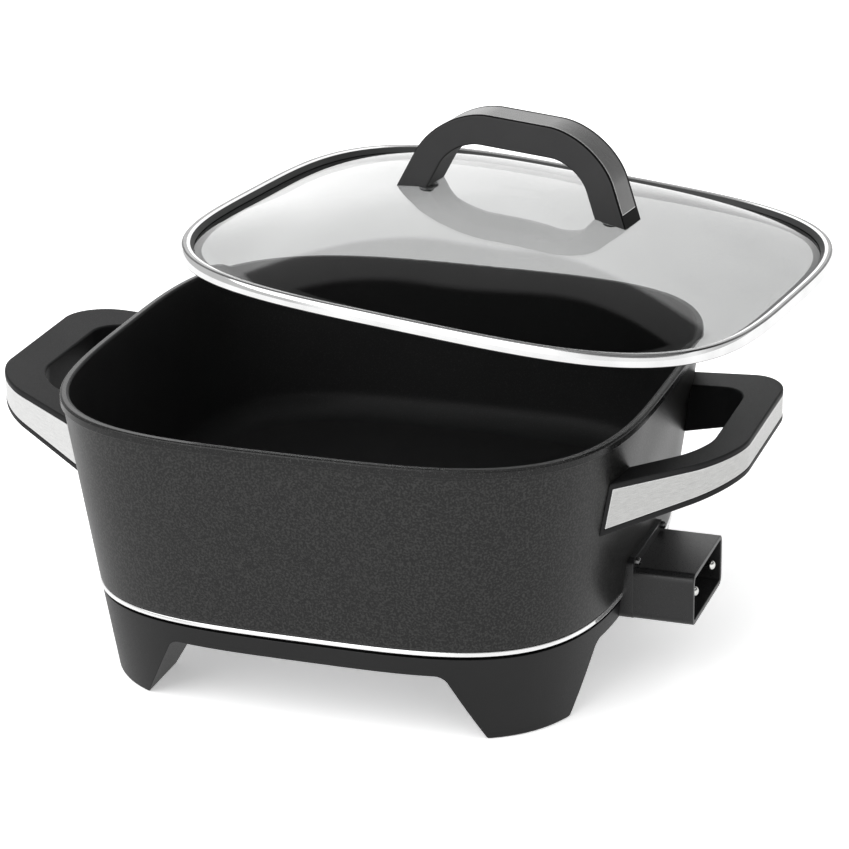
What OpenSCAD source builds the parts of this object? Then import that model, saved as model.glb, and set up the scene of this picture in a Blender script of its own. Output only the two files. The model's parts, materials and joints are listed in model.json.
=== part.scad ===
// Deep square electric skillet: a cast pan on a skirted base with four legs, two loop handles,
// a socket for a plug-in heat control and a loose domed glass lid, shown lifted off to one side.
// Lengths are in millimetres. The origin is on the table, under the middle of the pan.
// X runs from the left handle to the right handle, -Y is the front and Z is up.

/* [Pan] */
// Width of the pan across the outside of its rim
rim_w = 270; // [250:1:300]
// Squareness of every outline, where 2 is a circle
corner_power = 3.6; // [3:0.1:5]
// Depth of the pan inside
pan_depth = 80; // [66:1:100]
// Thickness of the cast wall
pan_wall = 3.4; // [2.6:0.1:5]
// Thickness of the cast floor
pan_floor = 6.7; // [5:0.1:9]
// How far each wall leans in on its way down
pan_lean = 11.5; // [7:0.5:15]
// Radius inside, where the wall meets the floor
pan_fillet = 14; // [10:0.5:18]
// Height of the bead round the rim
bead_h = 4; // [2.4:0.1:5]
// How far the bead stands out from the wall
bead_out = 1.1; // [0.6:0.1:2]
// Height of the lip under the floor
lip_h = 3.9; // [3:0.1:6]
// Width of the lip under the floor
lip_w = 8; // [6:0.5:11]

/* [Base] */
// Clear height between the table and the skirt
leg_h = 32.7; // [24:0.1:45]
// Height of the skirt
skirt_h = 10.7; // [9:0.1:16]
// Thickness of the skirt
skirt_wall = 8; // [6:0.5:10]
// How far the feet stand in from the top of the skirt
foot_inset = 6; // [2:0.5:9]
// Width of a foot seen from the front
foot_w = 35; // [30:1:44]
// Width of a foot seen from the side
foot_d = 42; // [34:1:46]
// How much wider a leg is at the skirt than at the foot
leg_flare = 17; // [8:1:20]
// Wall thickness of the hollow legs
leg_wall = 3.5; // [2.5:0.1:5]
// Height and depth of the groove round the top of the skirt
skirt_step = 1; // [0.6:0.1:1.6]

/* [Trim ring] */
// Height of the bright ring between pan and base
trim_h = 2; // [1.4:0.1:3]
// Width of the ring, mostly hidden
trim_w = 5; // [4:0.1:7]
// How far the ring stands out past the base
trim_proud = 0.5; // [0.2:0.1:1]

/* [Base screws] */
// Distance of the base screws from the middle, sideways
base_screw_x = 42; // [34:1:50]
// Thickness of the tabs that the screws pass through
tab_t = 3; // [2.4:0.1:4]
// Radius of each tab and of the boss above it
boss_r = 5.5; // [5:0.1:7]
// Height of the tabs above the bottom of the skirt
tab_up = 3; // [2.6:0.1:4]

/* [Handles] */
// How far the handles reach past the rim
handle_reach = 43.6; // [36:0.2:54]
// Half width of a handle where it leaves the wall
handle_root_half = 72; // [64:0.5:78]
// Half width of a handle at its grip
handle_grip_half = 51.7; // [46:0.1:58]
// Outside corner radius in plan
handle_corner_r = 32.6; // [22:0.2:38]
// Width of the two arms, measured along Y
arm_w = 19.8; // [18.4:0.2:21]
// Width of the grip
grip_w = 17.4; // [14:0.1:21]
// Corner radius of the finger gap
gap_corner_r = 23; // [16:0.5:25]
// Drop from the rim to the top of the handle at the wall
root_drop = 21; // [18:0.1:26]
// Height of the handle at the wall
root_h = 23; // [21:0.1:28]
// Drop from the rim to the top of the grip
grip_drop = 10.7; // [8:0.1:16]
// Height of the grip
grip_h = 15.6; // [13:0.1:20]
// Black lip left above and below the steel band
band_lip = 2.6; // [1.8:0.1:3.6]
// Thickness of the steel band
band_t = 1.2; // [0.8:0.1:1.6]
// Distance from the wall to the ends of the band
band_start = 3; // [2:0.1:5]
// Length of the cast lugs inside the arms
lug_len = 15; // [13:0.5:17]
// Width of the lugs
lug_w = 7; // [6:0.1:8]
// Height of the lugs
lug_h = 10; // [9:0.1:11]
// Thickness of the handle between each lug and its screw's head
lug_floor = 2; // [1.6:0.1:3]
// Distance from the wall to the handle screws
arm_screw_out = 8.2; // [7:0.1:9]

/* [Socket] */
// How far the socket reaches past the top of the skirt
socket_reach = 32.9; // [26:0.1:40]
// Place of the socket along the side, from the middle
socket_y = -8; // [-12:0.5:0]
// Outside width of the socket
socket_w = 53; // [50:0.1:56]
// Outside height of the socket
socket_h = 25; // [24:0.1:28]
// Wall thickness of the socket
socket_wall = 2.4; // [1.8:0.1:3]
// Corner radius of the socket
socket_r = 4; // [3:0.1:6]
// Height of the flange above the socket
flange_up = 4.4; // [4:0.1:7]
// Thickness of the flange
flange_t = 2.6; // [2:0.1:4]

/* [Element] */
// Distance from the foot of the wall in to the element's straights
element_in = 40.4; // [38.4:0.1:46]
// Corner radius of the element, on its centre line
element_r = 34; // [26:0.5:36]
// Diameter of the element's sheath
element_d = 7.2; // [6.4:0.1:7.6]
// Bend radius where the ends turn out to the socket
end_bend_r = 11; // [9:0.5:12]
// Straight length of each end after its bend
element_tail = 14.4; // [12:0.1:16]
// Thickness of the ribs beside the element
rib_t = 2.5; // [1.8:0.1:3]
// Height of the ribs beside the element
rib_h = 6; // [4:0.1:7]
// Distance between the terminal pins
pin_gap = 30.8; // [28:0.1:32]
// Diameter of the terminal pins
pin_d = 4.8; // [4:0.1:5]
// Diameter of the pins' shanks, inside the collars
shank_d = 4.2; // [3.4:0.1:4.4]
// How far the pin tips stay inside the socket's mouth
pin_short = 0.3; // [0.1:0.1:4]
// Outside diameter of the ceramic collars
collar_d = 6.8; // [6.2:0.1:7]
// Length of the ceramic collars
collar_len = 16; // [12:0.5:17]
// Diameter of the bore that takes the heat control's probe
probe_d = 6.4; // [5:0.1:7]
// Length of the probe guide
probe_len = 46; // [36:1:50]
// Width of the probe guide
probe_w = 14; // [12:0.1:16]
// Height of the probe guide
probe_h = 11; // [10:0.1:13]

/* [Lid] */
// How far the lid reaches past the rim on each side
lid_overhang = 3.2; // [2:0.1:5]
// Height of the steel band round the lid
lid_band_h = 6; // [5.6:0.1:8]
// Width of the band's lower flange, which rests on the rim
lid_flange_w = 9; // [7:0.1:10]
// Width of the band's upper flange, over the glass
lid_lip_w = 3; // [2.6:0.1:5]
// Thickness of the band's sheet
lid_sheet = 0.8; // [0.5:0.1:0.9]
// Thickness of the glass
glass_t = 4; // [3:0.1:4.2]
// Rise of the glass dome above its flat edge
dome_rise = 24.4; // [16:0.2:34]
// Width of the flat edge of the glass
glass_edge_w = 6; // [5:0.5:9]

/* [Lid handle] */
// Height of the lid handle above the top of the glass
knob_h = 36.6; // [32:0.2:42]
// Half length of the lid handle at its feet
knob_foot_half = 55.3; // [50:0.1:60]
// Half length of the lid handle at its top
knob_top_half = 39.4; // [36:0.1:44]
// Outside corner radius
knob_corner_r = 38; // [28:0.5:40]
// Thickness of the legs of the lid handle
knob_limb = 14.6; // [13:0.1:17]
// Thickness of the top of the lid handle
knob_top_t = 14.6; // [12:0.1:17]
// Inside corner radius
knob_gap_r = 21; // [14:0.5:23]
// Depth of the lid handle, front to back
knob_depth = 21.6; // [19:0.1:25]
// Width of the black edge beside the steel strip
strip_edge = 1.7; // [1.2:0.1:3]
// Thickness of the steel strip
strip_t = 1; // [0.6:0.1:1.4]
// Distance from the glass to the ends of the steel strip
strip_up = 4; // [2.5:0.1:8]

/* [Screws] */
// Diameter of the handle and base screws
screw_d = 3.8; // [3.4:0.1:4]
// Head diameter of those screws
screw_head_d = 7.2; // [6.4:0.1:7.6]
// Head height of all screws
screw_head_h = 2.2; // [1.8:0.1:2.4]
// Diameter of the socket's screws
small_screw_d = 2.6; // [2.2:0.1:3]
// Head diameter of the socket's screws
small_head_d = 3.6; // [3.2:0.1:4]
// Distance between the socket's screws
socket_screw_gap = 44; // [32:1:45]
// How far the lid handle's screws reach into the handle
knob_screw_in = 9; // [7:0.5:11]
// Diameter of the washers under the glass
washer_d = 11; // [10:0.1:14]
// Thickness of the washers under the glass
washer_t = 1.5; // [1.2:0.1:3]

/* [Lifted lid] */
// Angle between the seated lid and the lid as it is shown
lid_turn = 6.7; // [0:0.1:30]
// Sideways distance from the rim's centre to the axis of that turn
pivot_x = 532; // [480:1:600]
// Front to back distance from the rim's centre to that axis
pivot_y = -104; // [-140:1:-60]
// Distance of that axis below the rim, negative downwards
pivot_z = -398; // [-460:1:-340]

/* [Fits] */
// Gap between the rim and the seated lid
lid_gap = 0.3; // [0.2:0.05:0.6]
// Gap between pieces that fit together
fit_gap = 0.2; // [0.1:0.05:0.3]
// Gap between a screw and the hole it passes through
screw_gap = 0.2; // [0.1:0.05:0.4]
// Room past the end of each screw
screw_room = 1; // [0.5:0.1:1.5]

/* [Hidden] */

$fn = 48;
// Points round each outline, along each rounded corner and up the pan's inside fillet
outline_steps = 72;
arc_steps = 10;
fillet_steps = 4;
// Overshoot of cuts
over = 1;

// Heights, from the table up
base_top = leg_h + skirt_h;
seat_z = base_top + trim_h;
under_z = seat_z + lip_h;
floor_z = under_z + pan_floor;
rim_z = floor_z + pan_depth;
bead_z = rim_z - bead_h;

// Half widths
rim_half = rim_w / 2;
wall_top_half = rim_half - bead_out;
wall_foot_half = wall_top_half - pan_lean;
base_top_half = wall_foot_half - fit_gap;
foot_half = base_top_half - foot_inset;

// Outside of the pan's wall and of the base at a height
function wall_half(z) = wall_top_half - pan_lean * (bead_z - z) / (bead_z - seat_z);
function base_half(z) = foot_half + foot_inset * z / base_top;
skirt_inside = base_half(leg_h) - skirt_wall;

// Socket, element and probe
element_half = wall_foot_half - element_in;
socket_x = base_top_half + socket_reach;
pin_z = under_z - element_d / 2 - fit_gap / 2;
socket_z = leg_h - fit_gap;
collar_x = element_half + end_bend_r + element_tail;
probe_z = under_z - probe_h / 2;
guide_x = skirt_inside - 2 * fit_gap;
notch_w = pin_gap + collar_d + 4 * fit_gap;
flange_x = wall_half(socket_z + socket_h + flange_up) + flange_t;
socket_screw_z = socket_z + socket_h + flange_up / 2 + fit_gap;

// Base screws
base_screw_y = outline_reach(skirt_inside, base_screw_x + boss_r) - boss_r - fit_gap;
tab_z = leg_h + tab_up;
boss_z = tab_z + tab_t;

// Side handles
handle_x0 = rim_half - 2 * pan_lean;
handle_x1 = rim_half + handle_reach;
handle_slope = (handle_root_half - handle_grip_half) / (handle_x1 - wall_half(rim_z - root_drop));
handle_len = handle_x1 - handle_x0;
handle_base_half = handle_grip_half + handle_slope * handle_len;
arm_angle = atan(handle_slope);
arm_x = wall_half(rim_z - root_drop - root_h / 2);
arm_y = handle_grip_half + handle_slope * (handle_x1 - arm_x) - arm_w / 2;
band_seat = band_t + fit_gap / 2;
lug_z = handle_low(arm_x + lug_len) + screw_head_h + lug_floor;
arm_screw_z = lug_z - fit_gap - lug_floor;

// Underside and top of a side handle at a distance from the middle
function handle_low(x) = rim_z - root_drop - root_h
    + (root_drop + root_h - grip_drop - grip_h) * (x - arm_x) / (handle_x1 - arm_x);
function handle_high(x) = rim_z - root_drop + (root_drop - grip_drop) * (x - arm_x) / (handle_x1 - arm_x);

// Lid, measured from its own underside
lid_z = rim_z + lid_gap;
lid_half = rim_half + lid_overhang;
glass_low = lid_sheet + fit_gap / 2;
glass_half = lid_half - 2 * lid_sheet - fit_gap;
dome_half = glass_half - glass_edge_w;
dome_foot = glass_low + glass_t;
knob_z = dome_foot + dome_rise;
knob_slope = (knob_foot_half - knob_top_half) / knob_h;
knob_screw_x = knob_foot_half - knob_limb / 2 - knob_slope * knob_screw_in / 2;
strip_seat = strip_t + fit_gap / 2;
dome_steps = 6;
dome_cap = 0.1;
knob_steps = ceil(dome_steps * (knob_foot_half + knob_slope * dome_rise) / dome_half);
lid_axis = [-0.354, 0.673, -0.65];
lid_pivot = [pivot_x, pivot_y, rim_z + pivot_z];

// Top of the glass at a share of the dome's half width
function dome_top(share) = dome_foot + dome_rise * (1 - share * share);

// One point of the outline of half width 1, at an angle from +X
function outline_point(angle) =
    let (size = pow(abs(cos(angle)), corner_power) + pow(abs(sin(angle)), corner_power))
    pow(size, -1 / corner_power) * [cos(angle), sin(angle)];

unit_outline = [for (i = [0 : outline_steps - 1]) outline_point(360 * i / outline_steps)];

// How far an outline of a half width reaches along Y at a distance along X
function outline_reach(half, x) = half * pow(1 - pow(x / half, corner_power), 1 / corner_power);

// Points of a stack of outlines, where each ring is [half width, height]
function stack_points(rings) = [for (ring = rings) for (p = unit_outline)
    [ring[0] * p[0], ring[0] * p[1], ring[1]]];

// Faces between one ring of points and another
function band_faces(low, high) = [for (i = [0 : outline_steps - 1])
    let (j = (i + 1) % outline_steps)
    [low * outline_steps + i, high * outline_steps + i, high * outline_steps + j, low * outline_steps + j]];

// Solid that passes through the rings in turn, closed by flat ends
module stack_solid(rings) {
    count = len(rings);
    sides = [for (k = [0 : count - 2]) each band_faces(k, k + 1)];
    bottom = [for (i = [0 : outline_steps - 1]) i];
    top = [for (i = [outline_steps - 1 : -1 : 0]) (count - 1) * outline_steps + i];
    polyhedron(stack_points(rings), concat(sides, [bottom, top]), convexity = 8);
}

// Endless band that passes through the rings and back to the first
module stack_ring(rings) {
    count = len(rings);
    sides = [for (k = [0 : count - 1]) each band_faces(k, (k + 1) % count)];
    polyhedron(stack_points(rings), sides, convexity = 8);
}

// Rounded corner between two straight lines that meet at corner
function rounded(from, corner, to, r) =
    let (u = (from - corner) / norm(from - corner),
        v = (to - corner) / norm(to - corner),
        half = acos(u * v) / 2,
        middle = corner + (u + v) / norm(u + v) * r / sin(half),
        start = corner + u * r / tan(half) - middle,
        end = corner + v * r / tan(half) - middle,
        a = atan2(start[1], start[0]),
        turn = (atan2(end[1], end[0]) - a + 540) % 360 - 180)
    [for (i = [0 : arc_steps]) middle + r * [cos(a + turn * i / arc_steps), sin(a + turn * i / arc_steps)]];

// Outline of an arch with leaning legs and rounded shoulders, standing on v = 0 and set in by t
function arch(foot, top, height, r, t = 0) =
    let (lean = (foot - top) / height,
        a = foot - t * sqrt(1 + lean * lean),
        b = a - lean * (height - t),
        corners = [[-a, 0], [-b, height - t], [b, height - t], [a, 0]])
    concat([corners[0]], rounded(corners[0], corners[1], corners[2], r - t),
        rounded(corners[1], corners[2], corners[3], r - t), [corners[3]]);

// Copies to both ends of X, both ends of Y, or all four corners
module both_x() {
    children();
    mirror([1, 0, 0]) children();
}

module both_y() {
    children();
    mirror([0, 1, 0]) children();
}

module four_corners() {
    both_x() both_y() children();
}

// Cylinder along +X from a point
module rod_x(from, length, d) {
    translate(from) rotate([0, 90, 0]) cylinder(d = d, h = length);
}

// Square with round corners, centred
module round_square(half, r) {
    square([2 * half, 2 * (half - r)], center = true);
    square([2 * (half - r), 2 * half], center = true);
    for (x = [-1, 1], y = [-1, 1]) translate([x, y] * (half - r)) circle(r);
}

// The space that the pan's outside takes up, grown by a gap
module pan_envelope(gap) {
    stack_solid([[wall_half(seat_z) + gap, seat_z - gap], [wall_half(rim_z) + gap, rim_z]]);
}

// The space that the base and the trim ring take up, grown by a gap
module base_envelope(gap) {
    stack_solid([[base_half(0) + gap, 0], [base_half(base_top) + gap, base_top],
        [base_top_half + trim_proud + gap, base_top], [base_top_half + trim_proud + gap, seat_z]]);
}

// Way through the pan's lip, the trim ring and the skirt for the pins and the probe
module socket_notch(low, high) {
    translate([element_half + end_bend_r, socket_y - notch_w / 2, low])
        cube([rim_half, notch_w, high - low]);
}

// Cast pan with its rim bead, lugs for the handles and bosses for the base
module pan_shell() {
    inner_foot = wall_half(floor_z + pan_fillet) - pan_wall;
    curve = [for (i = [0 : fillet_steps]) let (a = 90 * i / fillet_steps)
        [inner_foot - pan_fillet * (1 - cos(a)), floor_z + pan_fillet * (1 - sin(a))]];
    stack_solid(concat(
        [[wall_half(seat_z) - lip_w - lip_h, under_z],
            [wall_half(seat_z) - lip_w, seat_z],
            [wall_half(seat_z) - bead_out, seat_z],
            [wall_half(seat_z + bead_out), seat_z + bead_out],
            [wall_top_half, bead_z],
            [rim_half, bead_z + bead_out / 2],
            [rim_half, rim_z - bead_out / 2],
            [rim_half - bead_out / 2, rim_z],
            [wall_top_half - pan_wall, rim_z],
            [wall_half(bead_z) - pan_wall, bead_z]],
        curve));
}

module element_ribs() {
    half = element_half;
    outer = element_d / 2 + fit_gap + rib_t;
    inner = element_d / 2 + fit_gap;
    difference() {
        translate([0, 0, under_z - rib_h]) linear_extrude(rib_h + over) difference() {
            round_square(half + outer, element_r + outer);
            difference() {
                round_square(half + inner, element_r + inner);
                round_square(half - inner, element_r - inner);
            }
            round_square(half - outer, element_r - outer);
        }
        translate([0, socket_y - pin_gap / 2 - end_bend_r - rib_t, 0])
            cube([rim_half, pin_gap + 2 * end_bend_r + 2 * rib_t, under_z]);
    }
}

// Places things at a handle's root on the right, along the arm
module at_arm() {
    both_y() translate([arm_x, arm_y, 0]) rotate([0, 0, -arm_angle]) children();
}

module handle_lugs() {
    at_arm() difference() {
        translate([-pan_wall, -lug_w / 2, lug_z]) cube([lug_len + pan_wall, lug_w, lug_h]);
        translate([arm_screw_out, 0, lug_z - over])
            cylinder(d = screw_d + screw_gap, h = over + lug_h - lug_floor);
    }
}

module pan() {
    color([0.16, 0.16, 0.17]) difference() {
        union() {
            pan_shell();
            element_ribs();
            both_x() handle_lugs();
            four_corners() translate([base_screw_x, base_screw_y, boss_z])
                cylinder(r = boss_r, h = under_z - boss_z + over);
        }
        four_corners() translate([base_screw_x, base_screw_y, boss_z - over])
            cylinder(d = screw_d + screw_gap, h = under_z - boss_z + over);
        socket_notch(seat_z - over, under_z);
        for (y = [-1, 1])
            rod_x([wall_half(socket_screw_z) - 2 * small_screw_d, socket_y + y * socket_screw_gap / 2,
                socket_screw_z], pan_lean, small_screw_d + screw_gap);
    }
}

// Quarter bend of the element about a centre
module element_bend(centre, r, from) {
    translate([centre[0], centre[1], pin_z]) rotate([0, 0, from])
        rotate_extrude(angle = 90) translate([r, 0]) circle(d = element_d);
}

// Straight of the element between two points
module element_straight(from, to) {
    along = to - from;
    translate([from[0], from[1], pin_z]) rotate([0, 0, atan2(along[1], along[0])])
        rotate([0, 90, 0]) cylinder(d = element_d, h = norm(along));
}

// Tubular element, one turn round the floor with both ends led out to the socket
module heating_element() {
    half = element_half;
    side = element_half - element_r;
    color([0.36, 0.36, 0.38]) {
        for (i = [0 : 3]) {
            corner = [[1, 1], [-1, 1], [-1, -1], [1, -1]][i];
            element_bend(corner * side, element_r, 90 * i);
        }
        element_straight([-side, half], [side, half]);
        element_straight([-side, -half], [side, -half]);
        element_straight([-half, -side], [-half, side]);
        for (y = [-1, 1]) {
            end_y = socket_y + y * pin_gap / 2;
            bend_y = end_y + y * end_bend_r;
            element_straight([half, bend_y], [half, y * side]);
            element_bend([half + end_bend_r, bend_y], end_bend_r, y < 0 ? 90 : 180);
            element_straight([half + end_bend_r, end_y], [collar_x, end_y]);
        }
    }
}

module terminal_pins() {
    free_x = flange_x + fit_gap;
    color([0.82, 0.82, 0.8]) for (y = [-1, 1]) {
        rod_x([collar_x, socket_y + y * pin_gap / 2, pin_z], free_x + over - collar_x, shank_d);
        rod_x([free_x, socket_y + y * pin_gap / 2, pin_z], socket_x - pin_short - free_x, pin_d);
    }
}

module terminal_collars() {
    color([0.9, 0.88, 0.82]) for (y = [-1, 1]) difference() {
        rod_x([collar_x, socket_y + y * pin_gap / 2, pin_z], collar_len, collar_d);
        rod_x([collar_x - over, socket_y + y * pin_gap / 2, pin_z], collar_len + 2 * over,
            shank_d + fit_gap / 2);
    }
}

// Block against the floor with the blind bore that takes the probe
module probe_guide() {
    color([0.6, 0.6, 0.6]) difference() {
        translate([guide_x - probe_len, socket_y - probe_w / 2, under_z - probe_h])
            cube([probe_len, probe_w, probe_h]);
        rod_x([guide_x - probe_len + probe_d, socket_y, probe_z], probe_len, probe_d);
    }
}

// Outline of the socket seen from its mouth, set in by t
module socket_outline(t) {
    w = socket_w - 2 * t;
    h = socket_h - 2 * t;
    r = socket_r - t;
    square([w - 2 * r, h], center = true);
    square([w, h - 2 * r], center = true);
    for (y = [-1, 1], z = [-1, 1]) translate([y * (w / 2 - r), z * (h / 2 - r)]) circle(r);
}

// Turns a shape drawn in the YZ plane to stand along +X at the socket
module along_socket(x) {
    translate([x, socket_y, socket_z + socket_h / 2]) rotate([90, 0, 90]) children();
}

module socket_shroud() {
    wall_x = wall_foot_half - foot_inset;
    color([0.1, 0.1, 0.1]) difference() {
        union() {
            along_socket(wall_x) linear_extrude(socket_x - wall_x) difference() {
                socket_outline(0);
                socket_outline(socket_wall);
            }
            along_socket(wall_x) linear_extrude(flange_x - wall_x) {
                socket_outline(0);
                translate([0, flange_up]) socket_outline(0);
            }
        }
        pan_envelope(fit_gap);
        base_envelope(fit_gap);
        for (y = [-1, 1]) {
            rod_x([wall_x - over, socket_y + y * pin_gap / 2, pin_z], rim_half, collar_d + 2 * fit_gap);
            rod_x([wall_x - over, socket_y + y * socket_screw_gap / 2, socket_screw_z],
                rim_half, small_screw_d + screw_gap);
        }
        rod_x([wall_x - over, socket_y, probe_z], rim_half, probe_d + 2 * fit_gap);
    }
}

module socket_screws() {
    color([0.7, 0.7, 0.7]) for (y = [-1, 1]) {
        shank_x = wall_half(socket_screw_z) - 2 * small_screw_d + fit_gap;
        screw_y = socket_y + y * socket_screw_gap / 2;
        rod_x([shank_x, screw_y, socket_screw_z], flange_x - shank_x, small_screw_d);
        rod_x([flange_x, screw_y, socket_screw_z], screw_head_h, small_head_d);
    }
}

// Free space between the legs along Y, whose half width at the table is given, with leaning sides
module leg_gap(half, flare) {
    lean = flare / leg_h;
    low = half + lean * over;
    high = half - flare;
    rotate([90, 0, 0]) linear_extrude(2 * rim_w, center = true)
        polygon([[-low, -over], [low, -over], [high, leg_h], [-high, leg_h]]);
}

// Free space between all four legs, widened by t on each side
module leg_gaps(t) {
    leg_gap(foot_half - foot_w + t, leg_flare);
    rotate([0, 0, 90]) leg_gap(foot_half - foot_d + t, leg_flare * foot_w / foot_d);
}

// Skirt and legs, with the legs hollow and open at the top
module base_form() {
    step_z = base_top - skirt_step;
    step_half = base_half(step_z) - skirt_step;
    difference() {
        stack_solid([[base_half(0), 0], [base_half(step_z), step_z],
            [step_half, step_z], [step_half, base_top]]);
        stack_solid([[skirt_inside, leg_h - over], [skirt_inside, base_top + over]]);
        leg_gaps(0);
        difference() {
            stack_solid([[base_half(leg_wall) - leg_wall, leg_wall], [base_half(leg_h) - leg_wall, leg_h]]);
            leg_gaps(leg_wall);
        }
    }
}

module base_tab() {
    translate([base_screw_x, base_screw_y, tab_z]) {
        cylinder(r = boss_r, h = tab_t);
        translate([-boss_r, 0, 0]) cube([2 * boss_r, boss_r + skirt_wall / 2, tab_t]);
    }
}

// Skirt with four hollow legs and the tabs that are screwed to the pan
module base_frame() {
    color([0.09, 0.09, 0.09]) difference() {
        union() {
            base_form();
            four_corners() base_tab();
        }
        four_corners() translate([base_screw_x, base_screw_y, tab_z - over])
            cylinder(d = screw_d + 2 * screw_gap, h = tab_t + 2 * over);
        socket_notch(leg_h - over, base_top + over);
    }
}

module trim_ring() {
    outer = base_top_half + trim_proud;
    color([0.85, 0.85, 0.86]) difference() {
        stack_ring([[outer - trim_w, base_top], [outer, base_top],
            [outer, seat_z], [outer - trim_w, seat_z]]);
        socket_notch(base_top - over, seat_z + over);
    }
}

// Screw with its head down, standing on +Z
module screw_up(length) {
    cylinder(d = screw_d, h = length);
    translate([0, 0, -screw_head_h]) cylinder(d = screw_head_d, h = screw_head_h);
}

module base_screws() {
    color([0.7, 0.7, 0.7]) four_corners() translate([base_screw_x, base_screw_y, tab_z])
        screw_up(under_z - tab_z - screw_room);
}

// Plan of a side handle, set in by t
module handle_plan(t) {
    points = arch(handle_base_half, handle_grip_half, handle_len, handle_corner_r, t);
    polygon([for (p = points) [handle_x0 + p[1], p[0]]]);
}

// Plan of the finger gap
module gap_plan() {
    gap_len = handle_len - grip_w;
    points = arch(handle_base_half - arm_w, handle_grip_half + handle_slope * grip_w - arm_w,
        gap_len, gap_corner_r);
    polygon([for (p = points) [handle_x0 + p[1], p[0]]]);
}

// Side view of a handle as a slab across Y, with a lip taken off above and below
module handle_side(lip) {
    x1 = handle_x1 + over;
    points = [[handle_x0, handle_low(handle_x0) + lip], [x1, handle_low(x1) + lip],
        [x1, handle_high(x1) - lip], [handle_x0, handle_high(handle_x0) - lip]];
    translate([0, rim_half, 0]) rotate([90, 0, 0]) linear_extrude(rim_w) polygon(points);
}

// Strip round the outside of a handle: the steel band, or the seat cut for it past the outer face
module handle_strip(depth, lip, start, past) {
    difference() {
        intersection() {
            linear_extrude(rim_z) difference() {
                handle_plan(-past);
                handle_plan(depth);
            }
            handle_side(lip);
        }
        pan_envelope(start);
    }
}

module handle() {
    difference() {
        intersection() {
            linear_extrude(rim_z) difference() {
                handle_plan(0);
                gap_plan();
            }
            handle_side(0);
        }
        pan_envelope(fit_gap);
        handle_strip(band_seat, band_lip - fit_gap / 2, band_start - fit_gap / 2, over);
        at_arm() {
            translate([-pan_wall, -lug_w / 2 - fit_gap, lug_z - fit_gap])
                cube([lug_len + pan_wall + fit_gap, lug_w + 2 * fit_gap, lug_h + 2 * fit_gap]);
            translate([arm_screw_out, 0, 0]) {
                cylinder(d = screw_d + 2 * screw_gap, h = lug_z);
                cylinder(d = screw_head_d + 2 * screw_gap, h = arm_screw_z);
            }
        }
    }
}

module handle_band() {
    handle_strip(band_t, band_lip, band_start, 0);
}

module handle_screws() {
    screw_top = lug_z + lug_h - lug_floor - screw_room;
    at_arm() translate([arm_screw_out, 0, arm_screw_z]) screw_up(screw_top - arm_screw_z);
}

module right_handle() {
    color([0.12, 0.12, 0.12]) handle();
}

module left_handle() {
    color([0.12, 0.12, 0.12]) mirror([1, 0, 0]) handle();
}

module right_handle_band() {
    color([0.78, 0.78, 0.78]) handle_band();
}

module left_handle_band() {
    color([0.78, 0.78, 0.78]) mirror([1, 0, 0]) handle_band();
}

module right_handle_screws() {
    color([0.7, 0.7, 0.7]) handle_screws();
}

module left_handle_screws() {
    color([0.7, 0.7, 0.7]) mirror([1, 0, 0]) handle_screws();
}

// Carries the lid from its own underside to the place where it is shown, lifted off the rim
module place_lid() {
    translate(lid_pivot) rotate(a = lid_turn, v = lid_axis) translate(-lid_pivot)
        translate([0, 0, lid_z]) children();
}

// Rings of the dome from its middle out to a number of steps, lowered by t
function dome_rings(t, steps = dome_steps) = [for (i = [0 : steps])
    let (share = dome_cap + (1 - dome_cap) * i / dome_steps)
    [dome_half * share, dome_top(share) - t]];

// The space round the lid handle above a surface that lies a gap over the dome
module above_dome(gap) {
    rings = dome_rings(-gap, knob_steps);
    stack_solid(concat(rings, [[rings[knob_steps][0], knob_z + knob_h + 2 * over]]));
}

// The space round the lid handle's screws under a surface that lies t below the dome
module under_dome(t) {
    rings = dome_rings(t, knob_steps);
    stack_solid(concat([[rings[knob_steps][0], 0]], [for (i = [knob_steps : -1 : 0]) rings[i]]));
}

module knob_bolt_places() {
    both_x() translate([knob_screw_x, 0, 0]) children();
}

module lid_glass() {
    upper = dome_rings(0);
    lower = dome_rings(glass_t);
    color([0.75, 0.8, 0.8, 0.35]) place_lid() difference() {
        stack_solid(concat(lower, [[glass_half, glass_low], [glass_half, dome_foot]],
            [for (i = [dome_steps : -1 : 0]) upper[i]]));
        knob_bolt_places() cylinder(d = screw_d + 2 * screw_gap, h = knob_z + over);
    }
}

// Rolled steel channel that holds the edge of the glass and rests on the rim
module lid_band() {
    groove = lid_sheet / 2;
    middle = lid_band_h / 2;
    channel_top = dome_foot + fit_gap / 2;
    color([0.86, 0.86, 0.87]) place_lid() stack_ring([
        [lid_half - lid_flange_w, 0],
        [lid_half - lid_sheet, 0],
        [lid_half, lid_sheet],
        [lid_half, middle - groove],
        [lid_half - groove, middle],
        [lid_half, middle + groove],
        [lid_half, lid_band_h - lid_sheet],
        [lid_half - lid_sheet, lid_band_h],
        [lid_half - lid_lip_w, channel_top + lid_sheet],
        [lid_half - lid_lip_w, channel_top],
        [lid_half - 2 * lid_sheet, channel_top],
        [lid_half - 2 * lid_sheet, lid_sheet],
        [lid_half - lid_flange_w, lid_sheet]]);
}

// Side view of the lid handle, standing on the level of the glass's edge and set in by t
module knob_side(t) {
    drop = dome_rise;
    polygon(arch(knob_foot_half + knob_slope * drop, knob_top_half, knob_h + drop, knob_corner_r, t));
}

module knob_gap_side() {
    drop = dome_rise;
    height = knob_h + drop - knob_top_t;
    foot = knob_foot_half + knob_slope * drop - knob_limb;
    polygon(arch(foot, foot - knob_slope * height, height, knob_gap_r));
}

// Stands a side view up across the lid, with a given depth
module knob_slab(depth) {
    translate([0, depth / 2, knob_z - dome_rise]) rotate([90, 0, 0]) linear_extrude(depth) children();
}

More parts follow.
